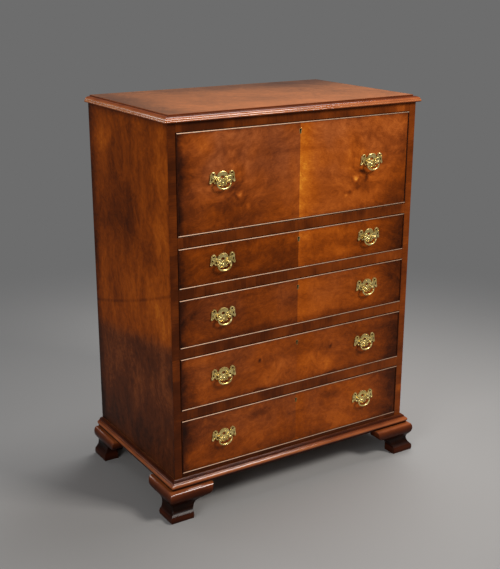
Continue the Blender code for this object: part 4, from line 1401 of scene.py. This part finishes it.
def build_front(front, wood, cuts):
    """One front with everything that is glued to it. Cuts are further shapes taken out of it."""
    node = f"{front}_front"
    low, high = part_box(node)
    key = (0.0, high.z - keyhole_drop)
    hole = keyhole_tool(*key, front_plane - cut_reach, high.y + cut_reach)
    half = lock_width / 2
    plate_low = Vector((-half, high.y - selvedge_width, high.z - selvedge_thickness))
    plate_high = Vector((half, high.y - selvedge_setback, high.z))
    notch = box_mesh("selvedge_notch", plate_low, plate_high + Vector((0, 0, selvedge_thickness)))
    core = carved(core_mesh(f"{front}_core", low, high), hole, notch, *cuts)
    ease(piece(f"{front}_core", core, wood, front, "figured_walnut", node), 0.25 * mm)
    build_selvedge(front, plate_low, plate_high)
    inset = bead_width + bead_shadow
    face_low = (low.x + inset, front_plane, low.z + inset)
    face_high = (high.x - inset, front_plane + banding_thickness, high.z - inset)
    veneer = figured_walnut(
        f"{front}_walnut", (low.z + high.z) / 2, (high.z - low.z) / 2, **front_looks[front]
    )
    mesh = carved(box_mesh(f"{front}_veneer", face_low, face_high), hole)
    piece(f"{front}_veneer", mesh, veneer, front, "figured_walnut")
    bead = carved(cockbead_mesh(f"{front}_cockbead", low, high), *cuts)
    piece(f"{front}_cockbead", bead, None, front, "moulded_walnut")
    build_escutcheon(front, key, high.y)


def build_escutcheon(front, key, rear):
    """The brass rim of a keyhole, and behind it a black liner, which is partly painted shade."""
    loops = [keyhole_outline(*key, grown) for grown in (thread_width[front], -0.05 * mm)]
    back, face = -front_plane - 3 * mm, -front_plane + 0.4 * mm
    ring = prism_mesh(f"{front}_escutcheon", loops, elevation, back, face, 0.12 * mm, crease_angle)
    fitting(f"{front}_escutcheon", ring, front)
    # The liner's black paints the shade inside the keyhole
    loops = [keyhole_outline(*key, grown) for grown in (-0.1 * mm, -0.4 * mm)]
    back, face = -rear + 1 * mm, -front_plane - 0.8 * mm
    liner = prism_mesh(f"{front}_keyhole_liner", loops, elevation, back, face)
    piece(f"{front}_keyhole_liner", liner, keyhole_shade_liner, front, "polished_brass")


def build_selvedge(front, low, high):
    """The lock's edge plate, flush in the top of the front, with the bolt drawn in."""
    middle = Vector((0, (low.y + high.y) / 2, 0))
    bolt = Vector((bolt_length / 2, bolt_width / 2, 0))
    hole = bolt + Vector((bolt_play, bolt_play, 0))
    above, below = Vector((0, 0, high.z + selvedge_thickness)), Vector((0, 0, low.z - selvedge_thickness))
    slot = box_mesh("bolt_slot", middle - hole + below, middle + hole + above)
    plate = carved(box_mesh(f"{front}_lock_edge", low, high), slot)
    fitting(f"{front}_lock_edge", plate, front)
    foot, head = Vector((0, 0, low.z - 0.2 * mm)), Vector((0, 0, low.z + 0.3 * mm))
    ends = (middle - bolt + foot, middle + bolt + head)
    board(f"{front}_lock_bolt", *ends, steel, front, "polished_brass", edge=0.1 * mm)
    places = [(sign * 22 * mm, middle.y, high.z - 0.2 * mm) for _, sign in sides]
    screws(f"{front}_lock_edge_screws", places, (0, 0, 1), 1.7 * mm, front, seed=5)


# Handles: a pierced plate with raised strands, two posts and a swelled bail
def mirrored(shares):
    """A whole outline from its right half, which starts and ends on the middle line."""
    right = [(x * plate_half_width, z * plate_height) for x, z in shares]
    return right + [(-x, z) for x, z in reversed(right) if x > 0]


def both_sides(shares):
    """A piercing of the right half and its mirror image."""
    loops = []
    for sign in (1, -1):
        points = [(sign * x * plate_half_width, z * plate_height) for x, z in shares]
        loops.append(flowing(points, 5, closed=True))
    return loops


def tube_mesh(name, points, facets):
    """A round bar through points (x, z, radius) in one plane seen from the front, at y = 0."""
    sections = []
    count = len(points)
    for i, (x, z, radius) in enumerate(points):
        before, after = points[max(i - 1, 0)], points[min(i + 1, count - 1)]
        along = Vector((after[0] - before[0], 0, after[1] - before[1])).normalized()
        across = Vector((along.z, 0, -along.x))
        centre = Vector((x, 0, z))
        ring = []
        for step in range(facets):
            angle = math.tau * step / facets
            ring.append(centre + radius * (math.cos(angle) * across + math.sin(angle) * Vector((0, 1, 0))))
        sections.append(ring)
    return loft_mesh(name, sections)


def turned_mesh(name, x, z, profile, facets=20):
    """Turned work: pairs (radius, reach towards the room) about a line at x, z from y = 0."""
    sections = []
    for radius, reach in profile:
        ring = []
        for step in range(facets):
            angle = math.tau * step / facets
            ring.append((x + radius * math.cos(angle), -reach, z + radius * math.sin(angle)))
        sections.append(ring)
    return loft_mesh(name, sections)


def strand(points, radius, lift):
    """A half-sunk bar that follows a line on the face of the plate."""
    line = flowing([(x * plate_half_width, z * plate_height) for x, z in points], 5)
    mesh = tube_mesh("strand", [(x, z, radius) for x, z in line], facets=8)
    mesh.transform(Matrix.Translation((0, -lift, 0)))
    return mesh


def post_profile(face):
    """A rosette on the plate's face, a waisted neck and the ball that holds the bail."""
    ball = arc((0.0, post_reach), post_ball_radius, -62, 86, 12)
    return [(radius * mm, face + lift * mm) for radius, lift in rosette_profile] + ball


def plate_pattern():
    """The plate with its strands and posts, its origin midway between the posts."""
    across_middle = (plate_outline_shares, crest_hole_shares)
    loops = [flowing(mirrored(shares), 4, closed=True) for shares in across_middle]
    for shares in (ear_hole_shares, lobe_hole_shares, wing_hole_shares):
        loops += both_sides(shares)
    face = seat_gap + plate_thickness
    meshes = [prism_mesh("plate", loops, elevation, seat_gap, face, plate_rounding)]
    for sign in (1, -1):
        for shares in (scroll_shares, arm_shares):
            meshes.append(strand([(sign * x, z) for x, z in shares], strand_radius, face))
        meshes.append(turned_mesh("post", sign * post_x, 0.0, post_profile(face)))
    crest = crest_shares + [(-x, z) for x, z in reversed(crest_shares) if x > 0]
    meshes.append(strand(crest, 1.2 * strand_radius, face))
    for x, z, size in plate_bosses:
        profile = [(size * radius, face + size * lift) for radius, lift in boss_profile]
        for sign in (1, -1) if x else (1,):
            place = (sign * x * plate_half_width, z * plate_height)
            meshes.append(turned_mesh("boss", *place, profile, facets=12))
    return joined("handle_plate", meshes, crease=40)


def bail_pattern():
    """The bail about its hinge line: its ends turn in to the balls, and it swells downwards."""
    whole = bail_line + [(-x, z, radius) for x, z, radius in reversed(bail_line[:-1])]
    points = [tuple(part * mm for part in point) for point in flowing(whole, 4)]
    return tube_mesh("bail", points, facets=14)


def shank_pattern():
    """The threaded ends and round nuts of both posts, inside the front."""
    profile = [(radius * mm, -reach * mm) for radius, reach in nut_profile]
    nuts = [turned_mesh("nut", sign * post_x, 0.0, profile, facets=16) for sign in (1, -1)]
    return joined("handle_nuts", nuts)


def copy_at(pattern, x, y, z):
    mesh = pattern.copy()
    mesh.transform(Matrix.Translation((x, y, z)))
    return mesh


def build_handles(front, rear=None):
    """Both handles of one front: plate, bail and, where the rear of the front is bare, the nuts."""
    for side, sign in sides:
        x, z = sign * handle_x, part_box(f"{front}_plate_{side}")[1].z - plate_height
        plate = copy_at(plate_shape, x, front_plane, z)
        fitting(f"{front}_handle_{side}", plate, front, f"{front}_plate_{side}")
        bail = copy_at(bail_shape, x, front_plane - post_reach, z)
        fitting(f"{front}_handle_bail_{side}", bail, f"{front}_{side}_bail", f"{front}_bail_{side}")
        if rear is not None:
            fitting(f"{front}_nuts_{side}", copy_at(nut_shape, x, rear, z), front)


# Drawers
def dovetails(low, high, count, deep):
    """Outlines (y, z) of tails that reach forward from y = 0 by deep, evenly from low to high."""
    pitch = (high - low) / count
    loops = []
    for index in range(count):
        middle = low + pitch * (index + 0.5)
        neck, wide = 0.30 * pitch, 0.30 * pitch + dovetail_slope * deep
        right = [(-deep, middle + wide), (0.0, middle + neck)]
        loops.append([(0.0, middle - neck), (-deep, middle - wide), *right])
    return loops


def tail_tools(name, rear, low, high, count, x_edges, grown):
    """The tails as solids, for the sockets in the front, slightly grown."""
    solids = []
    for loop in dovetails(low, high, count, dovetail_lap + grown):
        loop[0], loop[3] = (cut_reach, loop[0][1]), (cut_reach, loop[3][1])
        points = [(rear + y, z) for y, z in loop]
        solids.append(prism_mesh(name, [points], side_view, *x_edges))
    return joined(name, solids, crease=0)


def drawer_side_mesh(name, edges, front_y, back_y, low, high, count):
    """A drawer side whose front end is cut to tails."""
    outline = [(back_y, low), (back_y, high), (front_y, high)]
    tails = dovetails(low + dovetail_margin, high - dovetail_margin, count, dovetail_lap - seat_gap)
    for loop in reversed(tails):
        outline += [(front_y + y, z) for y, z in reversed(loop)]
    outline.append((front_y, low))
    return prism_mesh(name, [outline], side_view, *edges)


def build_lock(front, top, rear, deep, *nodes):
    """A lock on the inside of a front, with its four screws."""
    half = lock_width / 2
    low, high = Vector((-half, rear, top - lock_height)), Vector((half, rear + deep, top))
    board(f"{front}_lock_case", low, high, brass, front, "polished_brass", *nodes, edge=0.4 * mm)
    levels = (low.z + 5 * mm, high.z - 6 * mm)
    places = [(sign * (half - 6 * mm), high.y, z) for _, sign in sides for z in levels]
    screws(f"{front}_lock_screws", places, (0, 1, 0), 2.4 * mm, front)


def build_drawer_side(front, side, sign, count):
    """A drawer's side, cut to tails in front, with its slip, and the tool for its sockets."""
    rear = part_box(f"{front}_front")[1].y
    low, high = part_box(f"{front}_tray")
    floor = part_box(f"{front}_bottom")[1].z
    outer, inner = sign * high.x, sign * (high.x - tray_wall)
    name = f"{front}_side_{side}"
    mesh = drawer_side_mesh(name, sorted((outer, inner)), rear, high.y, low.z, high.z, count)
    nodes = (f"{front}_tray",) if side == "left" else ()
    ease(piece(name, mesh, oak_along, front, "oak_lining", *nodes), 0.6 * mm)
    start, end = sorted((inner, inner - sign * slip_width))
    slip_low = (start, rear + seat_gap, floor)
    slip_high = (end, high.y - tray_wall, floor + slip_height)
    board(f"{front}_slip_{side}", slip_low, slip_high, oak_along, front, "oak_lining", edge=2 * mm)
    tails = (low.z + dovetail_margin, high.z - dovetail_margin, count)
    edges = sorted((outer + sign * 5 * mm, inner - sign * 0.2 * mm))
    return tail_tools(f"{front}_socket_{side}", rear, *tails, edges, grown=0.1 * mm)


def build_long_drawer(front):
    """Front, sides lapped into it with dovetails, back, bottom, slips, lock and handles."""
    low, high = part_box(f"{front}_front")
    tray_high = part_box(f"{front}_tray")[1]
    floor_low, floor_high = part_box(f"{front}_bottom")
    count = max(3, round((high.z - low.z) / dovetail_pitch))
    rear = high.y
    sockets = [build_drawer_side(front, side, sign, count) for side, sign in sides]
    build_front(front, core_wood, sockets)
    oak = (oak_across, front, "oak_lining")
    wall = tray_high.x - tray_wall
    back_low = (-wall, tray_high.y - tray_wall, floor_high.z)
    board(f"{front}_back", back_low, (wall, tray_high.y, tray_high.z - tray_back_drop), *oak)
    start, end = (floor_low.x, rear + seat_gap, floor_low.z), (floor_high.x, tray_high.y, floor_high.z)
    board(f"{front}_floor", start, end, *oak, f"{front}_bottom")
    build_lock(front, high.z - lock_drop, rear + seat_gap, lock_depth)
    build_handles(front, rear)


plate_shape = plate_pattern()
bail_shape = bail_pattern()
nut_shape = shank_pattern()
# The figure of each front, as figured_walnut takes it
front_looks = {
    "fall": dict(
        tone=0.57,
        bloom=0.85,
        step=0.07,
        glow=(0.19, 0.036),
        knots=[(0.222, 0.030, 0.080, 0.13), (0.170, -0.038, 0.024, 0.12)],
        patches=[
            (0.171, -0.039, 0.006, 0.007, 0.32),
            (-0.167, -0.039, 0.009, 0.009, 0.30),
            (0.190, -0.022, 0.011, 0.006, -0.34),
            (0.208, -0.036, 0.006, 0.009, -0.34),
            (0.175, -0.056, 0.012, 0.010, -0.24),
            (0.200, -0.052, 0.020, 0.020, -0.12),
            (-0.160, -0.056, 0.016, 0.014, -0.18),
            (0.152, -0.070, 0.010, 0.007, -0.30),
            (0.143, -0.078, 0.005, 0.005, 0.20),
            (-0.150, -0.068, 0.006, 0.008, 0.16),
            (-0.180, -0.026, 0.018, 0.024, -0.16),
            (-0.22, 0.065, 0.080, 0.040, 0.02),
            (-0.08, 0.050, 0.070, 0.055, -0.08),
            (-0.04, -0.055, 0.035, 0.045, 0.06),
            (-0.025, 0.015, 0.030, 0.090, 0.05),
            (0.19, 0.108, 0.030, 0.012, -0.08),
            (-0.31, 0.02, 0.03, 0.08, -0.08),
            (-0.17, -0.095, 0.10, 0.022, -0.18),
            (-0.27, 0.080, 0.070, 0.025, 0.05),
            (-0.25, -0.075, 0.10, 0.035, -0.22),
            (0.28, -0.090, 0.08, 0.035, -0.24),
            (0.30, 0.085, 0.03, 0.030, 0.12),
            (0.020, -0.02, 0.020, 0.055, 0.12),
            (-0.006, -0.03, 0.010, 0.040, 0.08),
        ],
        ends=(0.20, 0.16),
        rims=(0.16, 0.16),
    ),
    "drawer_1": dict(
        tone=0.415,
        bloom=0.0,
        step=0.12,
        glow=(0.16, 0.05),
        knots=[(0.20, 0.05, 0.09, 0.04)],
        patches=[(0.12, -0.03, 0.07, 0.02, 0.10), (0.15, 0.035, 0.08, 0.015, 0.05)],
        ends=(0.10, 0.32),
        rims=(0.14, 0.10),
    ),
    "drawer_2": dict(
        tone=0.44,
        step=0.11,
        glow=(0.10, 0.04),
        knots=[(0.21, 0.0, 0.11, 0.04)],
        patches=[(-0.27, 0.0, 0.06, 0.04, -0.10), (0.12, -0.02, 0.10, 0.03, 0.05)],
        ends=(0.16, 0.34),
        rims=(0.20, 0.10),
    ),
    "drawer_3": dict(
        tone=0.51,
        step=-0.02,
        glow=(0.03, 0.05),
        knots=[(0.108, 0.022, 0.050, 0.06)],
        patches=[
            (-0.110, 0.018, 0.0045, 0.006, -0.40),
            (0.107, 0.012, 0.0045, 0.006, -0.30),
            (0.028, -0.028, 0.022, 0.030, 0.14),
            (0.095, -0.030, 0.030, 0.024, 0.14),
            (0.110, -0.062, 0.020, 0.006, -0.34),
            (-0.110, -0.062, 0.024, 0.006, -0.30),
            (-0.26, 0.035, 0.05, 0.02, 0.04),
            (-0.31, -0.02, 0.03, 0.05, -0.08),
            (-0.06, -0.03, 0.05, 0.03, 0.05),
        ],
        ends=(0.14, 0.34),
        rims=(0.10, 0.10),
    ),
    "drawer_4": dict(
        tone=0.50,
        step=0.035,
        glow=(0.03, 0.03),
        knots=[(0.110, 0.036, 0.040, 0.05)],
        patches=[
            (-0.110, 0.036, 0.030, 0.012, -0.18),
            (0.105, 0.036, 0.030, 0.012, -0.18),
            (-0.31, -0.045, 0.04, 0.03, 0.06),
            (-0.27, 0.02, 0.07, 0.05, -0.14),
            (0.155, -0.055, 0.04, 0.025, 0.14),
            (-0.05, -0.01, 0.08, 0.04, 0.03),
        ],
        ends=(0.18, 0.38),
        rims=(0.08, 0.10),
    ),
}
for front in long_drawers:
    build_long_drawer(front)


# Secretaire drawer
def build_secretaire_box():
    """Sides hollowed for the foot of the fall, and the back."""
    low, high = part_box("secretaire_tray")
    wall = high.x - secretaire_wall
    for name, sign in sides:
        edges = sorted((sign * high.x, sign * wall))
        mesh = box_mesh(f"secretaire_side_{name}", (edges[0], low.y, low.z), (edges[1], high.y, high.z))
        ends = [(x, pivot_y, pivot_z) for x in (edges[0] - cut_reach, edges[1] + cut_reach)]
        mesh = carved(mesh, rod_mesh("sweep", sweep_radius, *ends, facets=96))
        nodes = ("secretaire_tray",) if name == "left" else ()
        side = piece(f"secretaire_side_{name}", mesh, oak_along, "secretaire_drawer", "oak_lining", *nodes)
        ease(side, 0.6 * mm)
    back_low = (-wall, high.y - secretaire_wall, low.z)
    board("secretaire_back", back_low, (wall, high.y, high.z), oak_across, "secretaire_drawer", "oak_lining")


def build_desk_board():
    """The writing board behind the fall, notched for the arms and the stays."""
    mesh = smoothed_cad("desk_board")
    obj = piece("writing_board", mesh, inner_walnut, "secretaire_drawer", "figured_walnut", "desk_board")
    ease(obj, 0.4 * mm)


def build_keeps():
    """Brass hooks on the drawer sides that stop the stays."""
    low_y = front_plane + tray_start
    foot = pivot_z + stay_radius - stay_width
    arm = pivot_z + stay_radius + stay_width / 2 + keep_gap
    top = arm + keep_head
    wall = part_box("secretaire_tray")[1].x - secretaire_wall
    outer = stay_inner - keep_gap
    inner = outer - keep_bar
    hook = [(inner, foot), (outer, foot), (outer, arm), (wall, arm), (wall, top), (inner, top)]
    for name, sign in sides:
        outline = [(sign * x, z) for x, z in hook]
        near, far = -low_y - keep_depth, -low_y
        mesh = prism_mesh(f"stay_keep_{name}", [outline], elevation, near, far, 0.3 * mm)
        fitting(f"stay_keep_{name}", mesh, "secretaire_drawer")


def build_hinge_arms():
    """Brass arms let into the writing board, with round ends and the pins of the fall."""
    for name, sign in sides:
        low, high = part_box(f"fall_hinge_{name}")
        start, end = low.x + hinge_pin_reach, high.x - hinge_pin_reach
        outline = arc((pivot_y, pivot_z), arm_radius, 90, 270, 20)
        outline += [(high.y, pivot_z - arm_radius), (high.y, pivot_z + arm_radius)]
        arm = prism_mesh("arm", [outline], side_view, start, end, 0.3 * mm)
        pin = rod_mesh("pin", hinge_pin_radius, (low.x, pivot_y, pivot_z), (high.x, pivot_y, pivot_z))
        mesh = joined(f"fall_hinge_arm_{name}", [arm, pin])
        fitting(f"fall_hinge_arm_{name}", mesh, "secretaire_drawer", f"fall_hinge_{name}")
        face = start if sign > 0 else end
        places = [(face, pivot_y + share * arm_length, pivot_z) for share in (0.45, 0.82)]
        screws(f"fall_hinge_screws_{name}", places, (-sign, 0, 0), 2.0 * mm, "secretaire_drawer")


def bay_step(count):
    """Width of each of a row of equal bays in the pigeonholes, and the step to the next."""
    low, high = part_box("pigeonhole_unit")
    width = (high.x - low.x - nest_board * (count + 1)) / count
    return width, width + nest_board


def build_nest_boards(low, high, shelf):
    """The floor, shelf, top and sides of the pigeonholes."""
    kind = ("secretaire_drawer", "figured_walnut")
    board("nest_floor", low, (high.x, high.y, low.z + nest_board), inner_walnut, *kind)
    shelf_high = (high.x - nest_board, high.y, shelf + nest_board)
    board("nest_shelf", (low.x + nest_board, low.y, shelf), shelf_high, inner_walnut, *kind)
    top_low = (low.x, low.y, high.z - nest_board)
    board("nest_top", top_low, high, inner_walnut, *kind, "pigeonhole_unit")
    for name, sign in sides:
        start, end = sorted((sign * high.x, sign * (high.x - nest_board)))
        side_low = (start, low.y, low.z + nest_board)
        board(f"nest_side_{name}", side_low, (end, high.y, high.z - nest_board), inner_upright, *kind)


def build_pigeonholes():
    """Boards, partitions and arched valances over a row of bays for the small drawers."""
    low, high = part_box("pigeonhole_unit")
    floor, ceiling = low.z + nest_board, high.z - nest_board
    shelf = floor + small_bay_height
    build_nest_boards(low, high, shelf)
    left = low.x + nest_board
    rows = (
        ("bay", small_drawer_count, floor, shelf),
        ("hole", pigeonhole_count, shelf + nest_board, ceiling),
    )
    for name, count, foot, head in rows:
        width, step = bay_step(count)
        start, end = (left + width, low.y + 1 * mm, foot), (left + width + nest_board, high.y, head)
        plank = box_mesh(f"{name}_partition", start, end)
        mesh = row(f"{name}_partitions", plank, count - 1, (step, 0, 0), inner_upright)
        ease(piece(f"{name}_partitions", mesh, None, "secretaire_drawer", "figured_walnut"))
    width, step = bay_step(pigeonhole_count)
    lower = flowing([(left + x * width, ceiling - drop * valance_drop) for x, drop in valance_shares], 6)
    outline = [(left, ceiling), *lower, (left + width, ceiling)]
    face = -low.y - valance_setback
    valance = prism_mesh("valance", [outline], elevation, face - valance_thickness, face, 0.4 * mm)
    mesh = row("valances", valance, pigeonhole_count, (step, 0, 0), inner_walnut)
    piece("pigeonhole_valances", mesh, None, "secretaire_drawer", "figured_walnut")


def build_small_drawer(index):
    """A small drawer: veneered and beaded front, oak box and a turned brass knob."""
    node = f"small_drawer_{index}"
    body = f"{node}_body"
    low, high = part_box(node)
    rear = nest_face + small_front_wall
    inset = small_bead + bead_shadow
    front_low = (low.x + inset, nest_face + 1 * mm, low.z + inset)
    front_high = (high.x - inset, rear, high.z - inset)
    board(f"{node}_front", front_low, front_high, small_veneer, body, "figured_walnut", node, edge=0.2 * mm)
    radius = small_bead / 2
    profile = [(0.0, -small_bead_depth), *arc((radius, -radius), radius, 180, 0, 8)]
    profile.append((small_bead, -small_bead_depth))
    path = round_frame((low.x, low.z), (high.x, high.z), nest_face)
    bead = moulded(f"{node}_cockbead", path, profile, small_bead_wood)
    piece(f"{node}_cockbead", bead, None, body, "moulded_walnut")
    build_small_box(node, body, low, high, rear)
    profile = [(radius * mm, reach * mm) for radius, reach in flowing(knob_profile, 3)]
    place = ((low.x + high.x) / 2, low.z + small_bay_height / 2)
    knob = turned_mesh(f"{node}_knob", *place, profile, facets=24)
    fitting(f"{node}_knob", copy_at(knob, 0, nest_face, 0), body)


def build_small_box(node, body, low, high, rear):
    """The oak sides, back and bottom of a small drawer, behind its front."""
    kind = (body, "oak_lining")
    start, end, back = low.x + small_wall, high.x - small_wall, high.y - small_wall
    for name, edges in (("left", (low.x, start)), ("right", (end, high.x))):
        side_high = (edges[1], high.y, high.z - 2 * mm)
        board(f"{node}_side_{name}", (edges[0], rear, low.z), side_high, oak_along, *kind, edge=0.8 * mm)
    back_high = (end, high.y, high.z - 4 * mm)
    board(f"{node}_back", (start, back, low.z), back_high, oak_across, *kind, edge=0.8 * mm)
    board(f"{node}_floor", (start, rear, low.z), (end, back, low.z + small_bottom), oak_across, *kind)


# Fall front
def build_leather():
    """The writing leather with its tooled and gilt border."""
    low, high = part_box("writing_leather")
    kind = ("fall", "writing_leather")
    board("writing_leather_sheet", low, high, hide, *kind, "writing_leather", edge=0.3 * mm)
    lines = []
    for inset, width in ((8 * mm, 0.9 * mm), (20 * mm, 0.5 * mm)):
        corners = (low.x + inset, low.z + inset), (high.x - inset, high.z - inset)
        profile = [(0.0, -gilt_depth), (0.0, gilt_lift), (width, gilt_lift), (width, -gilt_depth)]
        lines.append(moulded("gilt_line", round_frame(*corners, high.y, face=1), profile, gilt))
    piece("leather_gilt_lines", joined("gilt_lines", lines), gilt, *kind)
    build_tooling(low, high)


def build_tooling(low, high):
    """Gilt flowers stamped between the two lines of the leather."""
    petals = []
    for step in range(24):
        angle = math.tau * step / 24
        radius = (2.3 + 1.1 * math.cos(4 * angle)) * mm
        petals.append((radius * math.cos(angle), radius * math.sin(angle)))
    stamp = helper("stamp", prism_mesh("stamp", [petals], elevation, -gilt_lift, gilt_depth))
    inset = stamp_inset
    x0, z0, x1, z1 = low.x + inset, low.z + inset, high.x - inset, high.z - inset
    corners = [(x0, high.y, z0), (x1, high.y, z0), (x1, high.y, z1), (x0, high.y, z1)]
    line = points_mesh("tooling_line", corners, [(0, 1), (1, 2), (2, 3), (3, 0)])
    mesh = tooled_line.run(line, Stamp=stamp, Distance=stamp_distance, Gilding=gilt)
    piece("leather_tooling", mesh, None, "fall", "writing_leather")


def stay_outline(tail):
    """A quadrant about the hinge line (y, z), from its leg on the fall round to its tail."""
    face = inner_face + seat_gap
    outer_edge, inner_edge = stay_radius + stay_width / 2, stay_radius - stay_width / 2
    leg_back = face + stay_leg_width
    heads = math.degrees(math.acos(face / outer_edge)), math.degrees(math.acos(leg_back / inner_edge))
    centre = (pivot_y, pivot_z)
    outline = [(pivot_y + face, pivot_z + stay_leg_start)]
    outline += arc(centre, outer_edge, heads[0], tail, 48)
    outline += arc(centre, inner_edge, tail, heads[1], 48)
    outline.append((pivot_y + leg_back, pivot_z + stay_leg_start))
    return outline


def build_stays():
    """Brass quadrants, each with a foot screwed to the fall and a pin at the tail."""
    tail = math.degrees(-math.asin(stay_tail_drop / stay_radius))
    outline = stay_outline(tail)
    pin_y = pivot_y + stay_radius * math.cos(math.radians(tail))
    pin_z = pivot_z - stay_tail_drop
    near, foot = pivot_y + inner_face + seat_gap, pivot_z + stay_leg_start
    back = near + stay_flange_thickness
    for name, sign in sides:
        edges = sorted((sign * stay_inner, sign * stay_outer))
        bar = prism_mesh("bar", [outline], side_view, *edges, 0.35 * mm)
        start, end = sorted((sign * stay_outer, sign * (stay_outer - stay_flange_width)))
        flange = box_mesh("flange", (start, near, foot), (end, back, foot + stay_flange_height))
        ends = [(sign * x, pin_y, pin_z) for x in (stay_outer, stay_inner - stay_pin_reach)]
        mesh = joined(f"fall_stay_{name}", [bar, flange, rod_mesh("pin", stay_pin_radius, *ends)])
        fitting(f"fall_stay_{name}", mesh, "fall", f"stay_{name}")
        x = sign * (stay_outer - 0.62 * stay_flange_width)
        places = [(x, back, foot + share * stay_flange_height) for share in (0.22, 0.78)]
        screws(f"fall_stay_screws_{name}", places, (0, 1, 0), 2.4 * mm, "fall", seed=3)


def build_fall():
    """The fall: figured outside, plain walnut inside with its leather, lock, stays and handles."""
    low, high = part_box("fall_front")
    leather_low, leather_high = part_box("writing_leather")
    play = Vector((seat_gap, seat_gap, seat_gap))
    recess_high = leather_high + play
    recess_high.y = high.y + cut_reach
    cuts = [box_mesh("recess", leather_low - play, recess_high)]
    reach = arm_radius + arm_slot_play
    for name, _ in sides:
        arm_low, arm_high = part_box(f"fall_hinge_{name}")
        notch_low = (arm_low.x + hinge_pin_reach - seat_gap, pivot_y - reach, low.z - cut_reach)
        notch_high = (arm_high.x - hinge_pin_reach + seat_gap, high.y + cut_reach, pivot_z + reach)
        cuts.append(box_mesh("notch", notch_low, notch_high))
    build_front("fall", inner_walnut, cuts)
    build_leather()
    build_lock("fall", high.z - lock_drop, high.y + seat_gap, fall_lock_depth, "fall_lock")
    build_stays()
    build_handles("fall")


small_veneer = figured_walnut("small_drawer_walnut", pivot_z + 0.05, 0.2, tone=0.52)
build_secretaire_box()
build_desk_board()
build_keeps()
build_hinge_arms()
build_pigeonholes()
for index in range(small_drawer_count):
    build_small_drawer(index + 1)
build_fall()


# Room: a plain pale floor, soft lights and the photograph's camera
def build_floor():
    """A pale floor that fades to the backdrop's grey far off, as the eye and reflections see it."""
    shading = Shading("pale_floor", roughness=0.75, specular=0.2)
    cloud = shading.noise(shading.place, 1.3, 2.0)
    colour = shading.ramp(cloud, (0.0, floor_colour), (1.0, [part + 3 for part in floor_colour]))
    away = shading.vector_math("LENGTH", shading.place, (0, 0, 0))
    distant = shading.remap(away, backdrop_start, backdrop_full)
    rays = shading.add("ShaderNodeLightPath").outputs
    mirrored_rays = shading.math("MAXIMUM", rays["Is Glossy Ray"], rays["Is Transmission Ray"])
    seen = shading.math("MAXIMUM", rays["Is Camera Ray"], mirrored_rays)
    shown = shading.times(distant, seen)
    glow = shading.add("ShaderNodeEmission", {"Color": srgb(*backdrop_colour), "Strength": 1.0}).outputs[0]
    feeds = {0: shown, 1: shading.shader.outputs[0], 2: glow}
    surface = shading.add("ShaderNodeMixShader", feeds).outputs[0]
    shading.link(surface, shading.tree.nodes["Material Output"], "Surface")
    corner = Vector((floor_reach, floor_reach, 0.0))
    mesh = box_mesh("floor", -corner - Vector((0, 0, floor_thickness)), corner)
    mesh.materials.append(shading.done(colour))
    floor = bpy.data.objects.new("floor", mesh)
    bpy.context.scene.collection.objects.link(floor)


def soft_light(name, place, power, size, colour=(255, 255, 255), aim=(0, 0, 0.5)):
    """A rectangle of light, in watts, that faces the chest."""
    light = bpy.data.lights.new(name, "AREA")
    light.shape = "RECTANGLE"
    light.size, light.size_y = size
    light.energy = power
    light.color = srgb(*colour)[:3]
    obj = bpy.data.objects.new(name, light)
    bpy.context.scene.collection.objects.link(obj)
    obj.location = place
    obj.rotation_euler = (Vector(aim) - Vector(place)).to_track_quat("-Z", "Y").to_euler()


def build_world():
    """A little even light from all round."""
    world = bpy.data.worlds.new("studio")
    world.use_nodes = True
    background = world.node_tree.nodes["Background"]
    background.inputs["Color"].default_value = srgb(236, 236, 238)
    background.inputs["Strength"].default_value = 0.18
    bpy.context.scene.world = world


def build_camera():
    """The photograph's own camera: above and to the left of the front."""
    camera = bpy.data.cameras.new("photo_camera")
    camera.lens, camera.sensor_width = camera_lens, 36
    camera.clip_end = 50
    obj = bpy.data.objects.new("photo_camera", camera)
    bpy.context.scene.collection.objects.link(obj)
    obj.location = camera_place
    turns = ((camera_turn, "Z"), (90 - camera_dip, "X"), (camera_roll, "Z"))
    turn, dip, roll = (Matrix.Rotation(math.radians(degrees), 3, axis) for degrees, axis in turns)
    obj.rotation_euler = (turn @ dip @ roll).to_euler()
    bpy.context.scene.camera = obj


build_floor()
soft_light("key", (1.6, -2.5, 2.95), 112, (1.0, 1.0), colour=(255, 250, 244))
soft_light("top", (1.0, 0.45, 3.3), 74, (1.6, 1.4))
soft_light("fill", (-3.2, -1.8, 1.9), 60, (1.6, 1.6), colour=(252, 251, 250))
soft_light("rim", (-1.75, 2.9, 1.95), 9, (0.8, 0.8), aim=(0, 0, 0.6))
build_world()
build_camera()
bpy.context.scene.view_settings.view_transform = "Standard"

clear_workshop()
